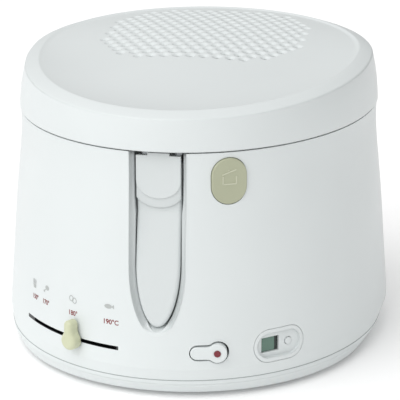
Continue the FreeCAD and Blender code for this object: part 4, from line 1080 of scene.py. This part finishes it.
def ink_and_highlight_finish(name, light, shade):
    """Matt pad-printing ink, also used as a painted highlight."""
    material, shader, place = new_finish(name)
    mottle = add_node(material, "ShaderNodeTexNoise", {}, {
        "Vector": place, "Scale": per_mm(MOTTLE_MM), "Detail": 1.0})
    tint = add_node(material, "ShaderNodeMix", {"data_type": "RGBA"}, {
        0: mottle.outputs[0], 6: to_linear(light), 7: to_linear(shade)})
    set_inputs(material, shader, {"Base Color": tint.outputs[2], "Roughness": 0.5})
    return material


red_ink = ink_and_highlight_finish("red_pad_printing_ink", "86120E", "760C09")
grey_ink = ink_and_highlight_finish("grey_pad_printing_ink", "B4B8B6", "A8ACAA")
# Painted highlight: the button's raised sign is drawn paler than the button, as the light its
# strokes catch.
sign_highlight_paint = ink_and_highlight_finish("pale_painted_highlight_on_sign", "C6C8B3", "BDBFA9")
print("inks:", red_ink.name, grey_ink.name, sign_highlight_paint.name)

# %% Temperatures
DIGIT_SIZE = 5.1
DIGIT_WEIGHT = 0.11
TEMPERATURES = (("150°", -103.8, 54.9), ("170°", -92.6, 55.4), ("180°", -66.8, 55.7),
                ("190°C", -34.9, 56.0))


def printed_words(name, words, middle):
    """Words bent onto the wall."""
    curve = bpy.data.curves.new(name, "FONT")
    curve.body = words
    curve.size = DIGIT_SIZE
    curve.align_x = "CENTER"
    curve.align_y = "CENTER"
    curve.offset = DIGIT_WEIGHT
    flat = bpy.data.objects.new(name, curve)
    mesh = bpy.data.meshes.new_from_object(flat)
    bpy.data.objects.remove(flat)
    for vertex in mesh.vertices:
        vertex.co = on_wall(middle, vertex.co.x, vertex.co.y)
    piece = bpy.data.objects.new(name, mesh)
    bpy.context.scene.collection.objects.link(piece)
    return piece


for words, x, z in TEMPERATURES:
    print_piece = printed_words(f"temperature_{words[:3]}", words, (x, z))
    print_piece.data.materials.clear()
    dress(print_piece, red_ink, "housing", "red_lens")

# %% [markdown]
# The food signs are plain line drawings of what is fried at each temperature: chips, a fish,
# a drumstick and rings. They are drawn from ovals and bars a few millimetres long.

# %% Food signs
def oval(x, y, half_width, half_height, count=20):
    points = []
    for index in range(count):
        turn = 2 * math.pi * index / count
        points.append((x + half_width * math.cos(turn), y + half_height * math.sin(turn)))
    return points


def bar(start, end, width):
    """Outline of a straight stroke."""
    run = Vector(end) - Vector(start)
    side = Vector((-run.y, run.x)).normalized() * width / 2
    corners = [Vector(start) - side, Vector(end) - side, Vector(end) + side, Vector(start) + side]
    return [tuple(corner) for corner in corners]


def ring_strokes(x, y, radius, width, count=16):
    """Ring of short strokes."""
    outline = oval(x, y, radius, radius, count)
    return [bar(a, b, width) for a, b in zip(outline, outline[1:] + outline[:1])]


FOOD_SIGNS = {
    "chips": ((-104.8, 64.8), [
        bar((-2.0, 0), (-2.6, 3.2), 0.7), bar((-0.7, 0), (-0.8, 3.8), 0.7),
        bar((0.7, 0), (0.8, 3.5), 0.7), bar((2.0, 0), (2.6, 3.0), 0.7),
        [(-2.6, -0.3), (-1.8, -3.2), (1.8, -3.2), (2.6, -0.3)]]),
    "drumstick": ((-92.1, 66.1), [
        oval(1.2, 0.9, 2.6, 1.9), bar((-0.8, -0.6), (-3.2, -2.4), 0.8),
        oval(-3.3, -2.1, 0.7, 0.6, 10), oval(-3.0, -2.8, 0.7, 0.6, 10)]),
    "rings": ((-66.7, 66.3), [
        *ring_strokes(-1.6, 0.6, 2.0, 0.7), *ring_strokes(1.6, -0.6, 2.0, 0.7)]),
    "fish": ((-36.3, 67.8), [
        oval(-0.6, 0, 3.2, 1.7), [(2.2, 0), (4.2, 1.7), (4.2, -1.7)]]),
}


def printed_sign(name, middle, outlines):
    shape = bmesh.new()
    for outline in outlines:
        shape.faces.new([shape.verts.new(on_wall(middle, u, v)) for u, v in outline])
    return mesh_piece(name, shape)


for food, (middle, outlines) in FOOD_SIGNS.items():
    dress(printed_sign(f"sign_{food}", middle, outlines), grey_ink, "housing", "grey_plastic")

# %% [markdown]
# The release button carries a raised sign of an opening lid: a pot's outline with its lid
# lifted at one side. It stands a few tenths of a millimetre proud and reads slightly paler
# than the button, as the light it catches: that is a painted highlight. Each stroke is a low
# bar with sloped sides, in a pale paint.

# %% Opening sign on the release button
BUTTON_PLACE = (50.0, 164.0)
BUTTON_PROUD = 1.5
SIGN_RISE = 0.35
SIGN_SLOPE = 0.25
SIGN_ROOT = 0.1
LID_SIGN = [
    bar((-5.0, -2.0), (5.0, -2.0), 0.9), bar((-5.0, -2.4), (-5.0, 3.7), 0.9),
    bar((5.0, -2.4), (5.0, 3.7), 0.9), bar((-5.6, 4.9), (5.0, 8.5), 0.9),
    bar((-0.9, 7.5), (-0.4, 8.7), 0.9),
]


def raised_stroke(shape, outline, place, low, high):
    """Low bar with sloped sides on a flat face set on the wall."""
    point, right, out = wall_frame(*place)
    middle = Vector((sum(u for u, v in outline), sum(v for u, v in outline))) / len(outline)
    rings = []
    for rise, slope in ((low, 0.0), (high, SIGN_SLOPE)):
        ring = []
        for u, v in outline:
            inward = (middle - Vector((u, v))).normalized() * slope
            spot = point + right * (u + inward.x) + Vector((0, 0, v + inward.y)) + out * rise
            ring.append(spot * MM)
        rings.append(ring)
    rows = join_rings(shape, rings)
    shape.faces.new(rows[-1])
    shape.faces.new(rows[0])


sign_shape = bmesh.new()
for stroke in LID_SIGN:
    raised_stroke(sign_shape, stroke, BUTTON_PLACE,
                  BUTTON_PROUD - SIGN_ROOT, BUTTON_PROUD + SIGN_RISE)
opening_sign = mesh_piece("opening_sign", sign_shape)
dress(opening_sign, sign_highlight_paint, "release_button", "beige_plastic")

# %% [markdown]
# The picture was taken in a white studio: a large soft light from the upper left and little
# from the right, so the casing darkens towards its right edge. The floor is a white sheet lit
# from below, as packshot tables are, so shadows on it stay faint.

# %% Floor and light
FLOOR_GLOW = 0.08
FLOOR_HALF = 8
KEY_TOWARD = (0.42, 0.66, -0.9)
KEY_WIDTH = 60
KEY_STRENGTH = 1.3
BRIGHT_SIDE = (-0.45, -0.45, 0.77)
BRIGHT_LEVEL = 0.95
DIM_LEVEL = 0.1


def stage_floor():
    shape = bmesh.new()
    bmesh.ops.create_grid(shape, x_segments=8, y_segments=8, size=FLOOR_HALF)
    floor = mesh_piece("studio_floor", shape)
    material, shader, place = new_finish("pale_painted_floor")
    cloud = add_node(material, "ShaderNodeTexNoise", {}, {"Vector": place, "Scale": 2.0})
    tint = add_node(material, "ShaderNodeMix", {"data_type": "RGBA"}, {
        0: cloud.outputs[0], 6: to_linear("FCFCFC"), 7: to_linear("F8F8F8")})
    set_inputs(material, shader, {
        "Base Color": tint.outputs[2], "Roughness": 0.9,
        "Emission Color": to_linear("FFFFFF"), "Emission Strength": FLOOR_GLOW})
    floor.data.materials.append(material)
    return floor


def soft_sun(name, toward, width, strength):
    """Even light from one side, as a very large softbox far away gives."""
    lamp = bpy.data.lights.new(name, "SUN")
    lamp.energy = strength
    lamp.angle = math.radians(width)
    holder = bpy.data.objects.new(name, lamp)
    holder.rotation_euler = Vector(toward).to_track_quat("-Z", "Y").to_euler()
    bpy.context.scene.collection.objects.link(holder)


def studio_walls(toward, bright, dim):
    """World light that is bright on one side of the studio and dim on the other."""
    world = bpy.data.worlds.new("white_studio")
    bpy.context.scene.world = world
    world.use_nodes = True
    way = add_node(world, "ShaderNodeTexCoord", {}, {})
    facing = add_node(world, "ShaderNodeVectorMath", {"operation": "DOT_PRODUCT"}, {
        0: way.outputs["Generated"], 1: Vector(toward).normalized()})
    level = add_node(world, "ShaderNodeMapRange", {}, {
        "Value": facing.outputs["Value"], "From Min": -1.0, "From Max": 1.0,
        "To Min": dim, "To Max": bright})
    set_inputs(world, world.node_tree.nodes["Background"], {
        "Color": to_linear("FFFFFF"), "Strength": level.outputs["Result"]})


stage_floor()
soft_sun("key_softbox", KEY_TOWARD, KEY_WIDTH, KEY_STRENGTH)
studio_walls(BRIGHT_SIDE, BRIGHT_LEVEL, DIM_LEVEL)
bpy.context.scene.view_settings.view_transform = "Standard"
print("lights:", [thing.name for thing in bpy.data.lights])

# %% [markdown]
# The camera stands where the photographer stood: to the right of the handle and above the
# rim, far enough away for little perspective. Its place was fitted to the casing's outline.

# %% Camera
EYE = Vector((0.2493, -1.3921, 0.5301))
AIM = Vector((-0.000458, 0.0195, 0.09772))
camera_data = bpy.data.cameras.new("photo_camera")
camera_data.lens = 166.0
camera_data.sensor_width = 36.0
camera = bpy.data.objects.new("photo_camera", camera_data)
camera.location = EYE
camera.rotation_euler = (AIM - EYE).to_track_quat("-Z", "Y").to_euler()
bpy.context.scene.collection.objects.link(camera)
bpy.context.scene.camera = camera
print("camera distance in metres:", round((AIM - EYE).length, 3))
